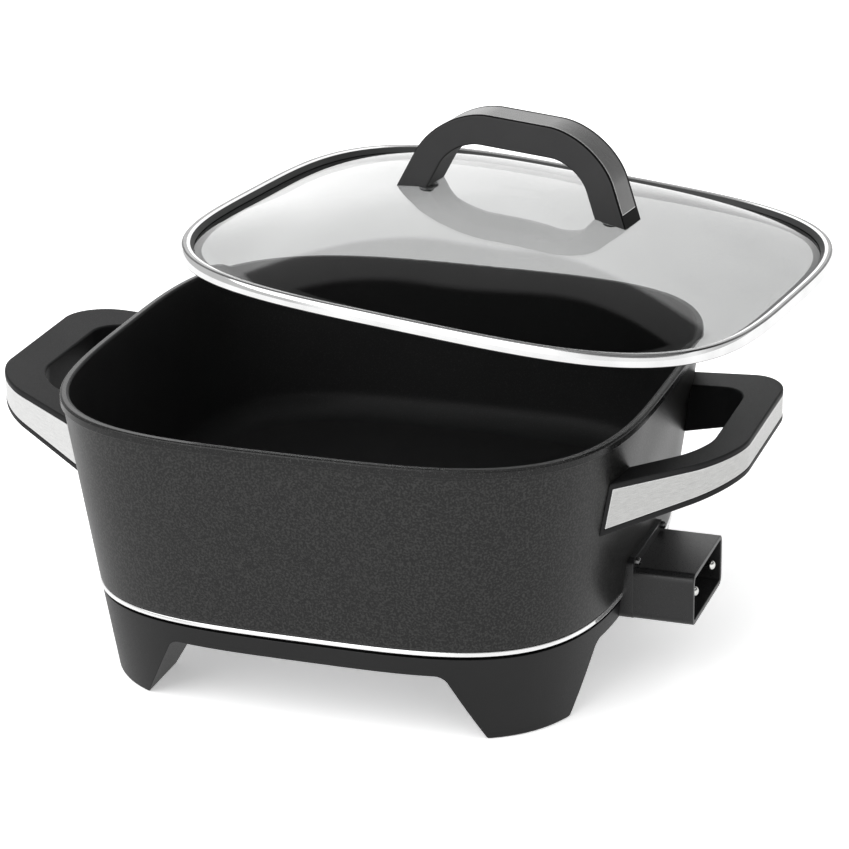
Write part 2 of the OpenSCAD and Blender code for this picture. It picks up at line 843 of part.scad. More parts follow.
// Strip over the top of the lid handle: the steel strip, or the seat cut for it past the outer face
module knob_strip(t, width, up, past) {
    intersection() {
        knob_slab(width) difference() {
            knob_side(-past);
            knob_side(t);
        }
        above_dome(up);
    }
}

module lid_handle() {
    color([0.13, 0.13, 0.13]) place_lid() difference() {
        intersection() {
            knob_slab(knob_depth) difference() {
                knob_side(0);
                knob_gap_side();
            }
            above_dome(fit_gap);
        }
        knob_strip(strip_seat, knob_depth - 2 * strip_edge + fit_gap, strip_up - fit_gap / 2, over);
        knob_bolt_places() cylinder(d = screw_d + screw_gap, h = knob_z + knob_screw_in);
    }
}

module lid_handle_strip() {
    color([0.78, 0.78, 0.78]) place_lid() knob_strip(strip_t, knob_depth - 2 * strip_edge, strip_up, 0);
}

module lid_handle_washers() {
    washer_low = dome_top(knob_screw_x / dome_half) - glass_t - washer_t - fit_gap;
    color([0.2, 0.2, 0.2]) place_lid() intersection() {
        knob_bolt_places() translate([0, 0, washer_low]) difference() {
            cylinder(d = washer_d, h = 2 * washer_t);
            translate([0, 0, -over]) cylinder(d = screw_d + screw_gap, h = 2 * washer_t + 2 * over);
        }
        under_dome(glass_t + fit_gap);
    }
}

module lid_handle_screws() {
    washer_low = dome_top(knob_screw_x / dome_half) - glass_t - washer_t - fit_gap;
    color([0.7, 0.7, 0.7]) place_lid() knob_bolt_places() translate([0, 0, washer_low])
        screw_up(knob_z + knob_screw_in - washer_low - screw_room);
}

pan();
heating_element();
terminal_pins();
terminal_collars();
probe_guide();
socket_shroud();
socket_screws();
base_frame();
trim_ring();
base_screws();
left_handle();
right_handle();
left_handle_band();
right_handle_band();
left_handle_screws();
right_handle_screws();
lid_glass();
lid_band();
lid_handle();
lid_handle_strip();
lid_handle_screws();
lid_handle_washers();
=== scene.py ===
"""Dress of a deep square electric skillet whose loose glass lid is lifted off the rim.

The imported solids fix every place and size. The classes here model each sub-assembly smoothly over
them, give it its finish, and set it on a pale floor in soft studio light. Shapes are drawn in
millimetres and scaled to metres when a piece is finished.
"""

import json
import logging
import math
from dataclasses import dataclass, field
from enum import Enum, IntEnum
from functools import cache, partial, reduce
from typing import Callable, Iterable, NamedTuple, Optional, Sequence

import bmesh
import bpy
from bmesh.types import BMEdge, BMFace, BMVert
from mathutils import Matrix, Vector


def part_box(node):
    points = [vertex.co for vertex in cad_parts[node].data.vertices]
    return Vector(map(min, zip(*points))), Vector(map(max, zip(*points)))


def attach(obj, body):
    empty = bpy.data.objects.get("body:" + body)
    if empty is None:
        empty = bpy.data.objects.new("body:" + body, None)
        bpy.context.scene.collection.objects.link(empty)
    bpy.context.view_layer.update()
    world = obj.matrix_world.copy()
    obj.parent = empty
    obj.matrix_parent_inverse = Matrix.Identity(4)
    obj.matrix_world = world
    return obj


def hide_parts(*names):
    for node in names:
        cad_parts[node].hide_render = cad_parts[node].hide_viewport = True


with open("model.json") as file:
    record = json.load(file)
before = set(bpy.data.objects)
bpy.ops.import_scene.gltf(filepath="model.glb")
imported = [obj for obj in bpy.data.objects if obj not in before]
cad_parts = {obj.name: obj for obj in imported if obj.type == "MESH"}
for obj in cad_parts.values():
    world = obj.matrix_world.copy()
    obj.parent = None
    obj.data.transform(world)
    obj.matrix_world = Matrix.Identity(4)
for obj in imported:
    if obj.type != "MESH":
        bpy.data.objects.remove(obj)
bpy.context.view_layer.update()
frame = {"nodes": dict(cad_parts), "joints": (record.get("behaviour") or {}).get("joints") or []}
LOG = logging.getLogger("skillet")
MM = 0.001
SHARP = math.radians(38)
RIGHT_ANGLE = math.pi / 2
QUARTER_TURN = Matrix.Rotation(RIGHT_ANGLE, 4, "Y")
NEAR = 0.1
FINE = 0.01
FLAT = 0.02
SEAT_DRAFT = 0.04
OVERLAP = 1.0
RIM_GAP = 0.3
LID_OVERHANG = 3.2
HANDLE_TILT = math.radians(16.0)
MIRRORED = ("Is Glossy Ray", "Is Transmission Ray")
WHITE = (1.0, 1.0, 1.0)

Point = Sequence[float]
Colour = tuple[float, float, float]
Span = tuple[float, float]
Value = bpy.types.NodeSocket
Inputs = dict[str | int, object]
Outputs = bpy.types.NodeOutputs
Test = Callable[[Vector], bool]
Wall = Callable[[float, float], float]


class Body(Enum):
    """Bodies of the frame that pieces ride on."""

    SKILLET = "skillet"
    LID = "lid"


class Slot(Enum):
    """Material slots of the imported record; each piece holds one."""

    COATING = "pan_coating"
    PIN = "pin_metal"
    BASE = "base_plastic"
    HANDLE = "handle_plastic"
    SCREW = "screw_steel"
    TRIM = "bright_trim"
    BRUSHED = "brushed_band"
    GLASS = "lid_glass"
    POLISHED = "polished_band"
    RUBBER = "seal_rubber"


class Ends(Enum):
    """What a loft does with its first and last ring."""

    CAPPED = "capped"
    JOINED = "joined"


class Side(Enum):
    """Sides of the pan that carry a loop handle."""

    LEFT = "left"
    RIGHT = "right"


class PanFace(IntEnum):
    """Material indices of the pan."""

    COATED = 0
    RIM = 1
    INSIDE = 2
    BARE = 3


class BandFace(IntEnum):
    """Material indices of the lid's band: polished steel, painted shade on the flange and the lip's
    underside, and a painted shade line along the top of the roll.
    """

    BRIGHT = 0
    DARK = 1
    SHADOW_LINE = 2


class Ring(NamedTuple):
    """One outline of a loft: half width, height and the finish of the wall that leads to it."""

    half: float
    z: float
    finish: int = 0


class Graph:
    """Node graph of a material, read on Object coordinates, or of the world."""

    def __init__(self, name: str, kind: str = "materials", shader: str = "Principled BSDF") -> None:
        """Starts a material, or another kind of data, with the one shader it comes with.

        Args:
            name: name of the material or world.
            kind: collection of bpy.data that holds it.
            shader: name of the shader that it starts with.
        """
        self.owner = getattr(bpy.data, kind).new(name)
        self.owner.use_nodes = True
        self.tree = self.owner.node_tree
        self.shader = self.tree.nodes[shader]
        self.place = self.add("ShaderNodeTexCoord", {})

    def fill(self, node: bpy.types.Node, inputs: Inputs) -> None:
        """Links a node's inputs to sockets, or sets them to numbers and colours.

        Args:
            node: the node.
            inputs: what each input gets, by its name or number.
        """
        for key, value in inputs.items():
            target = node.inputs[key]
            if isinstance(value, bpy.types.NodeSocket):
                self.tree.links.new(value, target)
            else:
                target.default_value = (*value, 1.0) if target.type == "RGBA" else value

    def add(self, kind: str, inputs: Inputs, **settings: str) -> Outputs:
        """Adds a node.

        Args:
            kind: the node's type.
            inputs: what each input gets, by its name or number.
            settings: other settings of the node.

        Returns:
            The node's outputs.
        """
        node = self.tree.nodes.new(kind)
        for name, value in settings.items():
            setattr(node, name, value)
        self.fill(node, inputs)
        return node.outputs

    def finish(self, inputs: Inputs) -> bpy.types.ID:
        """Fills the inputs of the graph's own shader and returns the material or world."""
        self.fill(self.shader, inputs)
        return self.owner

    def show(self, shader: Value, output: str) -> None:
        """Links a shader to the graph's output."""
        self.fill(self.tree.nodes[output], {"Surface": shader})

    def noise(self, size: float, detail: float = 2.0, stretch: Point = (1, 1, 1),
              turn: Point = (0, 0, 0)) -> Value:
        """Cloudy pattern.

        Args:
            size: width of a cloud in mm.
            detail: octaves of finer clouds.
            stretch: length of a cloud along each axis of the pattern.
            turn: angles in radians that the pattern's axes are turned by.

        Returns:
            The pattern's value, about 0.3 to 0.7.
        """
        scale = [size * MM * share for share in stretch]
        place = self.add("ShaderNodeMapping", {
            "Vector": self.place["Object"], "Rotation": turn,
            "Scale": scale}, vector_type="TEXTURE")
        return self.add("ShaderNodeTexNoise", {
            "Vector": place["Vector"], "Scale": 1.0, "Detail": detail})[0]

    def spread(self, value: Value, low: float, high: float, to_low: float = 0.0,
               to_high: float = 1.0) -> Value:
        """Maps the range from low to high of a value to another range, held at its ends."""
        return self.add("ShaderNodeMapRange", {
            "Value": value, "From Min": low, "From Max": high,
            "To Min": to_low, "To Max": to_high})["Result"]

    def blend(self, operation: str, first: Value, second: object) -> Value:
        """Works out a value from a value and another value or a number."""
        return self.add("ShaderNodeMath", {0: first, 1: second}, operation=operation)[0]

    def any_of(self, path: Outputs, *rays: str) -> Value:
        """Whether a ray is of one of some kinds, by the outputs of the light path."""
        return reduce(partial(self.blend, "MAXIMUM"), (path[ray] for ray in rays))

    def choose(self, share: Value, first: Value, second: Value) -> Value:
        """Mixes two shaders by a share."""
        return self.add("ShaderNodeMixShader", {0: share, 1: first, 2: second})["Shader"]

    def tint(self, share: Value, dark: Colour, light: Colour) -> Value:
        """Mixes two colours by a share."""
        return self.add("ShaderNodeMix", {0: share, 6: dark, 7: light}, data_type="RGBA")[2]

    def bump(self, height: Value, depth: float, strength: float = 1.0) -> Value:
        """Relief of a pattern, by its depth in mm and the share of it that shows."""
        return self.add("ShaderNodeBump", {
            "Height": height, "Distance": depth * MM, "Strength": strength})["Normal"]


@dataclass(frozen=True)
class Mottled:
    """Surface with a fine grain over wide soft clouds: plastics, castings, ceramic and rubber."""

    name: str
    dark: Colour
    light: Colour
    grain: float = 0.5
    relief: float = 0.03
    gloss: Span = (0.42, 0.54)
    metal: float = 0.0
    cloud: float = 40.0
    shine: float = 0.5
    clear: float = 0.0

    def material(self) -> bpy.types.Material:
        """Builds the material.

        Returns:
            The material.
        """
        graph = Graph(self.name)
        clouds, grain = graph.noise(self.cloud, 3.0), graph.noise(self.grain)
        return graph.finish({
            "Base Color": graph.tint(graph.spread(clouds, 0.35, 0.65), self.dark, self.light),
            "Roughness": graph.spread(grain, 0.3, 0.7, *self.gloss),
            "Normal": graph.bump(grain, self.relief), "Metallic": self.metal,
            "Specular IOR Level": self.shine, "Transmission Weight": self.clear})


@dataclass(frozen=True)
class Flecked:
    """Fired coating with fine pale flecks in a dark ground."""

    name: str
    ground: Colour
    fleck: Colour
    fleck_size: float = 0.55
    cover: Span = (0.56, 0.70)
    gloss: Span = (0.30, 0.40)
    relief: float = 0.02
    shine: float = 0.5
    cloud: float = 60.0

    def material(self) -> bpy.types.Material:
        """Builds the material.

        Returns:
            The material.
        """
        graph = Graph(self.name)
        flecks = graph.noise(self.fleck_size, 1.0)
        return graph.finish({
            "Base Color": graph.tint(graph.spread(flecks, *self.cover), self.ground, self.fleck),
            "Roughness": graph.spread(graph.noise(self.cloud), 0.35, 0.65, *self.gloss),
            "Normal": graph.bump(flecks, self.relief), "Specular IOR Level": self.shine})


@dataclass(frozen=True)
class Brushed:
    """Steel brushed along its length, with streaks that follow the tilt of the piece."""

    name: str
    dark: Colour
    light: Colour
    tilt: Point = (0, 0, 0)
    run: Point = (16, 16, 1)
    streak: float = 0.2
    speckle: float = 0.35
    gloss: Span = (0.24, 0.36)
    relief: float = 0.012

    def material(self) -> bpy.types.Material:
        """Builds the material.

        Returns:
            The material.
        """
        graph = Graph(self.name)
        streaks = graph.noise(self.streak, 2.0, self.run, self.tilt)
        return graph.finish({
            "Base Color": graph.tint(graph.spread(streaks, 0.2, 0.8), self.dark, self.light),
            "Roughness": graph.spread(graph.noise(self.speckle), 0.3, 0.7, *self.gloss),
            "Normal": graph.bump(streaks, self.relief, 0.7), "Metallic": 1.0})


@dataclass(frozen=True)
class Polished:
    """Bright metal with the faint haze that handling leaves."""

    name: str
    colour: Colour
    hazed: Colour
    gloss: Span = (0.05, 0.13)
    metal: float = 1.0
    cloud: float = 14.0
    ripple: float = 1.2
    relief: float = 0.004

    def material(self) -> bpy.types.Material:
        """Builds the material.

        Returns:
            The material.
        """
        graph = Graph(self.name)
        haze = graph.noise(self.cloud, 3.0)
        return graph.finish({
            "Base Color": graph.tint(graph.spread(haze, 0.35, 0.7), self.colour, self.hazed),
            "Roughness": graph.spread(haze, 0.35, 0.7, *self.gloss), "Metallic": self.metal,
            "Normal": graph.bump(graph.noise(self.ripple), self.relief, 0.5)})


@dataclass(frozen=True)
class TintedGlass:
    """Grey tempered glass that lets lamp light through to what lies under it."""

    name: str
    tint: Colour
    wiped: Colour
    lamp_tint: Colour
    cloud: float = 35.0
    index: float = 1.5

    def material(self) -> bpy.types.Material:
        """Builds the material.

        Returns:
            The material.
        """
        graph = Graph(self.name)
        share = graph.spread(graph.noise(self.cloud), 0.4, 0.7)
        clear = graph.add("ShaderNodeBsdfTransparent", {"Color": self.lamp_tint})["BSDF"]
        lamp = graph.add("ShaderNodeLightPath", {})["Is Shadow Ray"]
        graph.show(graph.choose(lamp, graph.shader.outputs["BSDF"], clear), "Material Output")
        return graph.finish({"Base Color": graph.tint(share, self.tint, self.wiped),
                             "Roughness": 0.0, "IOR": self.index, "Transmission Weight": 1.0})


Finish = Mottled | Flecked | Brushed | Polished | TintedGlass


@cache
def dressed(finish: Finish) -> bpy.types.Material:
    """Material of a finish, built once."""
    return finish.material()


def grey(level: float, blue: Optional[float] = None) -> Colour:
    """Grey of a level, with a level of its own for blue where that differs."""
    return level, level, level if blue is None else blue


COATING = Flecked("charcoal_coating", grey(0.001), grey(0.030, 0.029), 0.95, (0.42, 0.68),
                  (0.30, 0.38), 0.05, 0.39)
RIM_EDGE = Flecked("coated_rim", grey(0.006), grey(0.045, 0.044), gloss=(0.22, 0.30), shine=0.33)
NON_STICK = Flecked("non_stick_inside", grey(0.014, 0.0143), grey(0.024, 0.0243),
                    gloss=(0.36, 0.46), shine=0.12)
BARE_CASTING = Mottled("bare_casting", grey(0.33, 0.34), grey(0.40, 0.41), 1.1, 0.06,
                       (0.45, 0.62), 0.85)
BASE_PLASTIC = Mottled("base_moulding_black", grey(0.002, 0.0022), grey(0.004, 0.0042), 0.6, 0.03,
                       (0.36, 0.48), shine=0.38)
# The socket's copy of the base plastic is glossier, and lighter by painted light.
SOCKET_PLASTIC_LIT = Mottled("socket_moulding_painted_light", grey(0.012, 0.0125), grey(0.017, 0.0175), 0.6,
                         0.02, (0.26, 0.36))
HANDLE_PLASTIC = Mottled("handle_moulding_black", grey(0.008, 0.0085), grey(0.012, 0.0125), 0.45,
                         0.035, (0.46, 0.58), shine=0.26)
# Painted light: a lighter copy of the handle plastic for the lid's grip.
LID_GRIP_PLASTIC_LIT = Mottled("lid_grip_moulding_painted_light", grey(0.033, 0.0335), grey(0.041, 0.0415),
                           0.45, 0.035, (0.46, 0.58), shine=0.35)
# Painted light: one brushed band steel in two copies, darker on the right handle for painted shade
# and lighter on the left for painted light; the streaks follow each handle's tilt.
RIGHT_BAND_SHADED = Brushed("right_band_steel_painted_shade", grey(0.42, 0.415), grey(0.60, 0.59),
                        (0, -HANDLE_TILT, 0))
LEFT_BAND_LIT = Brushed("left_band_steel_painted_light", grey(0.62), grey(0.80, 0.79), (0, HANDLE_TILT, 0))
# Painted shade: the brushed band steel, darkened for the strip on the lid's grip.
STRIP_STEEL_SHADED = Brushed("lid_strip_steel_painted_shade", grey(0.11), grey(0.19, 0.187), run=(40, 1, 40))
# Painted highlight: near-white edges round the inlaid bands and the grip's strip.
EDGE_HIGHLIGHT = Polished("edge_painted_highlight_steel", grey(0.90), grey(0.80), (0.20, 0.30), 0.4)
POLISHED_BAND = Polished("polished_band_steel", grey(0.86), grey(0.78))
# Painted shade: a grey line along the top of the band's roll.
BAND_PAINTED_LINE = Polished("band_painted_shade_line", grey(0.30), grey(0.24), (0.20, 0.30))
# Painted shade: black with little shine, in the groove under the trim ring and on the outside of
# the lid's grip round its strip.
SHADOW_BLACK = Mottled("painted_shadow_black", grey(0.002), grey(0.005), 0.6, 0.03, (0.5, 0.6), shine=0.06)
# Painted shade: near-black, not metal, on the band's flange and the underside of its lip.
BAND_PAINTED_SHADE = Mottled("band_painted_shade", (0.018, 0.019, 0.019), (0.03, 0.031, 0.031), 0.6, 0.03,
                  (0.4, 0.55))
TRIM_STEEL = Polished("bright_trim_steel", grey(0.94), grey(0.88), (0.10, 0.18), 0.8)
PIN_METAL = Polished("plated_pin", grey(0.82, 0.80), grey(0.70, 0.68), (0.14, 0.24))
SCREW_STEEL = Polished("zinc_screw", (0.62, 0.63, 0.64), grey(0.50, 0.51), (0.22, 0.34))
# A darker copy of the screw steel for the socket's screws.
DARK_SOCKET_SCREW = Polished("dark_socket_screw", grey(0.20), grey(0.14), (0.24, 0.36))
LID_GLASS = TintedGlass("grey_glass", (0.475, 0.48, 0.478), (0.455, 0.46, 0.458),
                        (0.60, 0.61, 0.605))
SHEATH = Mottled("scaled_sheath", (0.10, 0.095, 0.09), (0.19, 0.18, 0.17), 0.8, 0.03, (0.38, 0.55),
                 0.8, 18.0)
CERAMIC = Mottled("fired_ceramic", (0.72, 0.70, 0.64), (0.80, 0.78, 0.72), 0.4, 0.02, (0.45, 0.6))
SILICONE = Mottled("clear_silicone", (0.62, 0.63, 0.63), (0.72, 0.73, 0.73), 0.7, 0.02,
                   (0.25, 0.35), clear=0.85)


@dataclass(frozen=True)
class Plan:
    """Outline seen from above: a square with bowed sides, or a circle where the power is 2."""

    power: float = 3.6
    steps: int = 216

    def reach(self, angle: float) -> float:
        """Distance from the middle to the outline of half width 1 at an angle."""
        size = abs(math.cos(angle)) ** self.power + abs(math.sin(angle)) ** self.power
        return size ** (-1 / self.power)

    def across(self, half: float, aside: float) -> float:
        """Reach of an outline of a half width at a distance aside from its middle line."""
        return half * (1 - min(1.0, abs(aside) / half) ** self.power) ** (1 / self.power)


SQUARE = Plan()
RIB_PLAN = Plan(4.2, 96)
ROUND = Plan(2.0, 40)


def curve(half: float, z: float, radius: float, start: float, end: float, steps: int,
          finish: int = 0) -> list[Ring]:
    """Rings along an arc of a loft's profile.

    Args:
        half: half width at the arc's centre.
        z: height of the arc's centre.
        radius: radius of the arc.
        start: angle of the first ring, where 0 faces outwards and 90 up.
        end: angle of the last ring.
        steps: number of pieces of the arc.
        finish: finish of the wall.

    Returns:
        The rings from start to end.
    """
    angles = [math.radians(start + (end - start) * i / steps) for i in range(steps + 1)]
    return [Ring(half + radius * math.cos(a), z + radius * math.sin(a), finish) for a in angles]


def every(place: Vector) -> bool:
    """Test that a corner passes wherever it is."""
    return True


class Shape:
    """A mesh in the making, in millimetres, with the operators that the pieces share."""

    def __init__(self) -> None:
        """Starts an empty mesh."""
        self.bm = bmesh.new()

    @staticmethod
    def loop(verts: Sequence[BMVert]) -> list[BMEdge]:
        """Edges that run between the given corners, in the same order on every run.

        Args:
            verts: the corners.

        Returns:
            The edges.
        """
        inside = set(verts)
        edges = dict.fromkeys(edge for vert in verts for edge in vert.link_edges)
        return [edge for edge in edges if edge.verts[0] in inside and edge.verts[1] in inside]

    def loft(self, rings: Sequence[Ring], ends: Ends, plan: Plan = SQUARE) -> list[BMVert]:
        """Draws a wall through rings in turn.

        Args:
            rings: the outlines from first to last.
            ends: whether the ends are capped or joined to each other.
            plan: outline of every ring.

        Returns:
            The corners that were made.
        """
        made = verts = bmesh.ops.create_circle(self.bm, segments=plan.steps, radius=1.0)["verts"]
        for vert in verts:
            vert.co *= plan.reach(math.atan2(vert.co.y, vert.co.x)) * rings[0].half
        bmesh.ops.translate(self.bm, verts=verts, vec=(0, 0, rings[0].z))
        first = edges = self.loop(verts)
        for before, ring in zip(rings, rings[1:]):
            grown = bmesh.ops.extrude_edge_only(self.bm, edges=edges)["geom"]
            verts = [item for item in grown if isinstance(item, BMVert)]
            share = ring.half / before.half
            bmesh.ops.scale(self.bm, verts=verts, vec=(share, share, 1))
            bmesh.ops.translate(self.bm, verts=verts, vec=(0, 0, ring.z - before.z))
            for face in (item for item in grown if isinstance(item, BMFace)):
                face.material_index = ring.finish
            edges = self.loop(verts)
            made = made + verts
        if ends is Ends.JOINED:
            for face in bmesh.ops.bridge_loops(self.bm, edges=first + edges)["faces"]:
                face.material_index = rings[0].finish
        else:
            for rim, finish in ((first, rings[1].finish), (edges, rings[-1].finish)):
                bmesh.ops.edgeloop_fill(self.bm, edges=rim, mat_nr=finish)
        return made

    def polygon(self, points: Iterable[Point]) -> None:
        """Draws one flat face through points."""
        self.bm.faces.new([self.bm.verts.new(point) for point in points])

    def arch(self, outer: Sequence[Point], inner: Sequence[Point], mirror: Matrix) -> None:
        """Draws the flat face of an arch from the points of one half.

        Args:
            outer: points of its outside, from the foot to the top.
            inner: points of its inside, from the foot to the top.
            mirror: turns a point into the one opposite.
        """
        self.polygon([*(mirror @ Vector(point) for point in outer), *outer[::-1], *inner,
                      *(mirror @ Vector(point) for point in inner[::-1])])

    def box(self, low: Point, high: Point) -> None:
        """Draws a block between two corners.

        Args:
            low: lowest corner.
            high: highest corner.
        """
        size = Vector(high) - Vector(low)
        place = Matrix.Translation((Vector(low) + Vector(high)) / 2) @ Matrix.Diagonal((*size, 1))
        bmesh.ops.create_cube(self.bm, size=1.0, matrix=place)

    def corners(self, chosen: Test) -> list[BMVert]:
        """Corners whose places pass a test."""
        return [vert for vert in self.bm.verts if chosen(vert.co)]

    def sharp_edges(self, chosen: Test = every) -> list[BMEdge]:
        """Sharp edges whose corners both pass a test."""
        return [edge for edge in self.bm.edges if edge.calc_face_angle(0.0) > SHARP
                and all(chosen(vert.co) for vert in edge.verts)]

    def round_corners(self, chosen: Test, radius: float, corner: float, segments: int) -> None:
        """Rounds corners of a flat face.

        Args:
            chosen: test that the corners pass.
            radius: radius of the arc.
            corner: angle between the two sides in radians.
            segments: pieces of the arc.
        """
        bmesh.ops.bevel(self.bm, geom=self.corners(chosen), offset=radius / math.tan(corner / 2),
                        offset_type="OFFSET", segments=segments, profile=0.5, affect="VERTICES",
                        material=-1)

    def round_edges(self, edges: Iterable[BMEdge], radius: float, segments: int) -> list[BMFace]:
        """Rounds edges.

        Args:
            edges: the edges.
            radius: radius of the rounding.
            segments: pieces of its arc.

        Returns:
            The faces of the rounding.
        """
        return bmesh.ops.bevel(self.bm, geom=list(edges), offset=radius, offset_type="OFFSET",
                               segments=segments, profile=0.5, affect="EDGES", material=-1,
                               clamp_overlap=True)["faces"]

    def raise_face(self, way: Point, face: Optional[BMFace] = None) -> list[BMVert]:
        """Draws a face out.

        Args:
            way: how far and where to.
            face: the face, or none where the shape has only one.

        Returns:
            The corners of its far end.
        """
        geom = [face or self.bm.faces[:][0]]
        grown = bmesh.ops.extrude_face_region(self.bm, geom=geom)["geom"]
        verts = [item for item in grown if isinstance(item, BMVert)]
        bmesh.ops.translate(self.bm, verts=verts, vec=way)
        self.face_out()
        return verts

    def inset(self, faces: Sequence[BMFace], margin: float, depth: float = 0.0) -> list[BMFace]:
        """Draws faces in from their outline and returns the faces of the margin."""
        return bmesh.ops.inset_region(self.bm, faces=faces, thickness=margin, depth=-depth,
                                      use_even_offset=True, use_boundary=True)["faces"]

    def seat(self, faces: Sequence[BMFace], lip: float, depth: float) -> None:
        """Sinks a shallow seat into faces and marks its floor with material index 1.

        Args:
            faces: the faces.
            lip: margin left round the seat.
            depth: depth of the seat.
        """
        self.inset(faces, lip)
        self.inset(faces, SEAT_DRAFT, depth)
        for face in faces:
            face.material_index = 1

    def lift_inlay(self, gap: float, thickness: float, edge: float) -> "Shape":
        """Makes the inlay that fills a seat.

        Args:
            gap: room left round the inlay.
            thickness: thickness of the inlay.
            edge: radius of its edges, whose faces get material index 1.

        Returns:
            The inlay as a shape of its own.
        """
        inlay = Shape()
        inlay.bm = self.bm.copy()
        spare = [face for face in inlay.bm.faces if face.material_index != 1]
        bmesh.ops.delete(inlay.bm, geom=spare, context="FACES")
        margin = inlay.inset(inlay.bm.faces[:], gap)
        bmesh.ops.delete(inlay.bm, geom=margin, context="FACES")
        inlay.mark(lambda face: 0)
        bmesh.ops.solidify(inlay.bm, geom=inlay.bm.faces[:], thickness=-thickness)
        inlay.face_out()
        # The rounded edges take index 1, which the inlays dress in a painted highlight.
        for face in inlay.round_edges(inlay.sharp_edges(), edge, 2):
            face.material_index = 1
        return inlay

    def mark(self, index: Callable[[BMFace], int]) -> None:
        """Gives every face a material index."""
        for face in self.bm.faces:
            face.material_index = index(face)

    def carve(self, cutter: "Shape") -> None:
        """Cuts another shape out of this one.

        Args:
            cutter: the shape that is cut out.
        """
        solids = []
        for name, shape in (("carved", self), ("cutter", cutter)):
            shape.face_out()
            mesh = bpy.data.meshes.new(name)
            shape.bm.to_mesh(mesh)
            solids.append(bpy.data.objects.new(name, mesh))
            bpy.context.collection.objects.link(solids[-1])
        cut = solids[0].modifiers.new("cut", "BOOLEAN")
        cut.operation = "DIFFERENCE"
        cut.solver = "EXACT"
        cut.use_self = True
        cut.use_hole_tolerant = True
        cut.object = solids[1]
        scene = bpy.context.evaluated_depsgraph_get()
        carved = bpy.data.meshes.new_from_object(solids[0].evaluated_get(scene))
        self.bm.clear()
        self.bm.from_mesh(carved)
        for mesh in (carved, *(solid.data for solid in solids)):
            bpy.data.meshes.remove(mesh)

    def add(self, other: "Shape", place: Matrix) -> None:
        """Adds a copy of another shape at a place.

        Args:
            other: the other shape.
            place: where the copy goes.
        """
        mesh = bpy.data.meshes.new("copy")
        other.bm.to_mesh(mesh)
        mesh.transform(place)
        self.bm.from_mesh(mesh)
        bpy.data.meshes.remove(mesh)

    def move(self, place: Matrix, verts: Optional[Sequence[BMVert]] = None) -> None:
        """Moves the whole shape, or only some of its corners."""
        bmesh.ops.transform(self.bm, matrix=place, verts=verts or self.bm.verts[:])

    def face_out(self) -> None:
        """Turns all faces outwards."""
        bmesh.ops.recalc_face_normals(self.bm, faces=self.bm.faces[:])
        self.bm.normal_update()


@dataclass(frozen=True)
class Piece:
    """A finished piece: the body it rides on, its slot and the node it stands for."""

    name: str
    body: Body
    slot: Slot
    node: str

    def make(self, shape: Shape, finishes: Sequence[Finish], soften: float = 0.0) -> None:
        """Turns a shape into the piece.

        Args:
            shape: the shape, in millimetres.
            finishes: finishes by material index.
            soften: radius in mm of the rounding of its sharp edges.
        """
        shape.face_out()
        for face in shape.bm.faces:
            face.smooth = True
        bmesh.ops.scale(shape.bm, vec=(MM, MM, MM), verts=shape.bm.verts[:])
        mesh = bpy.data.meshes.new(self.name)
        shape.bm.to_mesh(mesh)
        shape.bm.free()
        mesh.set_sharp_from_angle(angle=SHARP)
        for finish in finishes:
            mesh.materials.append(dressed(finish))
        piece = bpy.data.objects.new(self.name, mesh)
        bpy.context.collection.objects.link(piece)
        if soften:
            bevel = piece.modifiers.new("softened_edges", "BEVEL")
            bevel.width = soften * MM
            bevel.segments = 2
            bevel.limit_method = "ANGLE"
            bevel.angle_limit = SHARP
            bevel.use_clamp_overlap = False
            bevel.harden_normals = True
        level = piece.modifiers.new("even_shading", "WEIGHTED_NORMAL")
        level.keep_sharp = True
        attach(piece, self.body.value)
        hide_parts(self.node)
        LOG.info("%s: %d faces on %s", self.name, len(mesh.polygons), self.body.value)


def box_mm(node: str) -> tuple[Vector, Vector]:
    """Lowest and highest corner of a solid, in mm."""
    low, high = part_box(node)
    return low / MM, high / MM


@dataclass
class Fixing:
    """Pan head screw with a cross recess, drawn with its head down and its shank up."""

    shank_d: float = 3.8
    head_d: float = 7.2
    head_h: float = 2.2
    length: float = 12.0
    tip: float = 0.8
    tip_h: float = 1.0
    crown: Sequence[Span] = ((0.2, 1.0), (0.55, 0.97))
    crown_drop: float = 0.12
    edge_share: float = 0.45
    recess_floor: float = 0.45
    recess_arm: float = 0.62
    recess_slot: float = 0.11

    @classmethod
    def upright(cls, node: str) -> "Fixing":
        """Screw as tall as the upright screws of a node."""
        low, high = box_mm(node)
        return cls(length=high.z - low.z - cls.head_h)

    def shape(self) -> Shape:
        """Draws one screw whose head meets z = 0.

        Returns:
            The screw.
        """
        screw = Shape()
        head, shank = self.head_d / 2, self.shank_d / 2
        edge = self.head_h * self.edge_share
        crown = [Ring(head * wide, -self.head_h * high) for wide, high in self.crown]
        crown += curve(head - edge, -self.head_h + edge + self.crown_drop, edge, -75, 0, 5)
        screw.loft(crown + [Ring(head, 0), Ring(shank, 0), Ring(shank, self.length - self.tip_h),
                            Ring(shank - self.tip, self.length)], Ends.CAPPED, ROUND)
        arm, slot = head * self.recess_arm, head * self.recess_slot
        for x, y in ((arm, slot), (slot, arm)):
            recess = Shape()
            recess.box((-x, -y, -self.head_h - OVERLAP), (x, y, -self.head_h * self.recess_floor))
            screw.carve(recess)
        return screw

    def build(self, piece: Piece, places: Sequence[Matrix], finish: Finish = SCREW_STEEL) -> None:
        """Sets screws at places as one piece.

        Args:
            piece: the piece that the screws make.
            places: a place for each screw.
            finish: their finish.
        """
        screw = self.shape()
        group = Shape()
        for place in places:
            group.add(screw, place)
        piece.make(group, (finish,))


def base_corners(z: float = 0.0) -> list[Matrix]:
    """Places of the four base screws.

    Args:
        z: height of the places.

    Returns:
        The four places, the back right one last.
    """
    high = box_mm("base_screws")[1]
    head = Fixing.head_d / 2
    return [Matrix.Translation((x * (high.x - head), y * (high.y - head), z))
            for x in (-1, 1) for y in (-1, 1)]


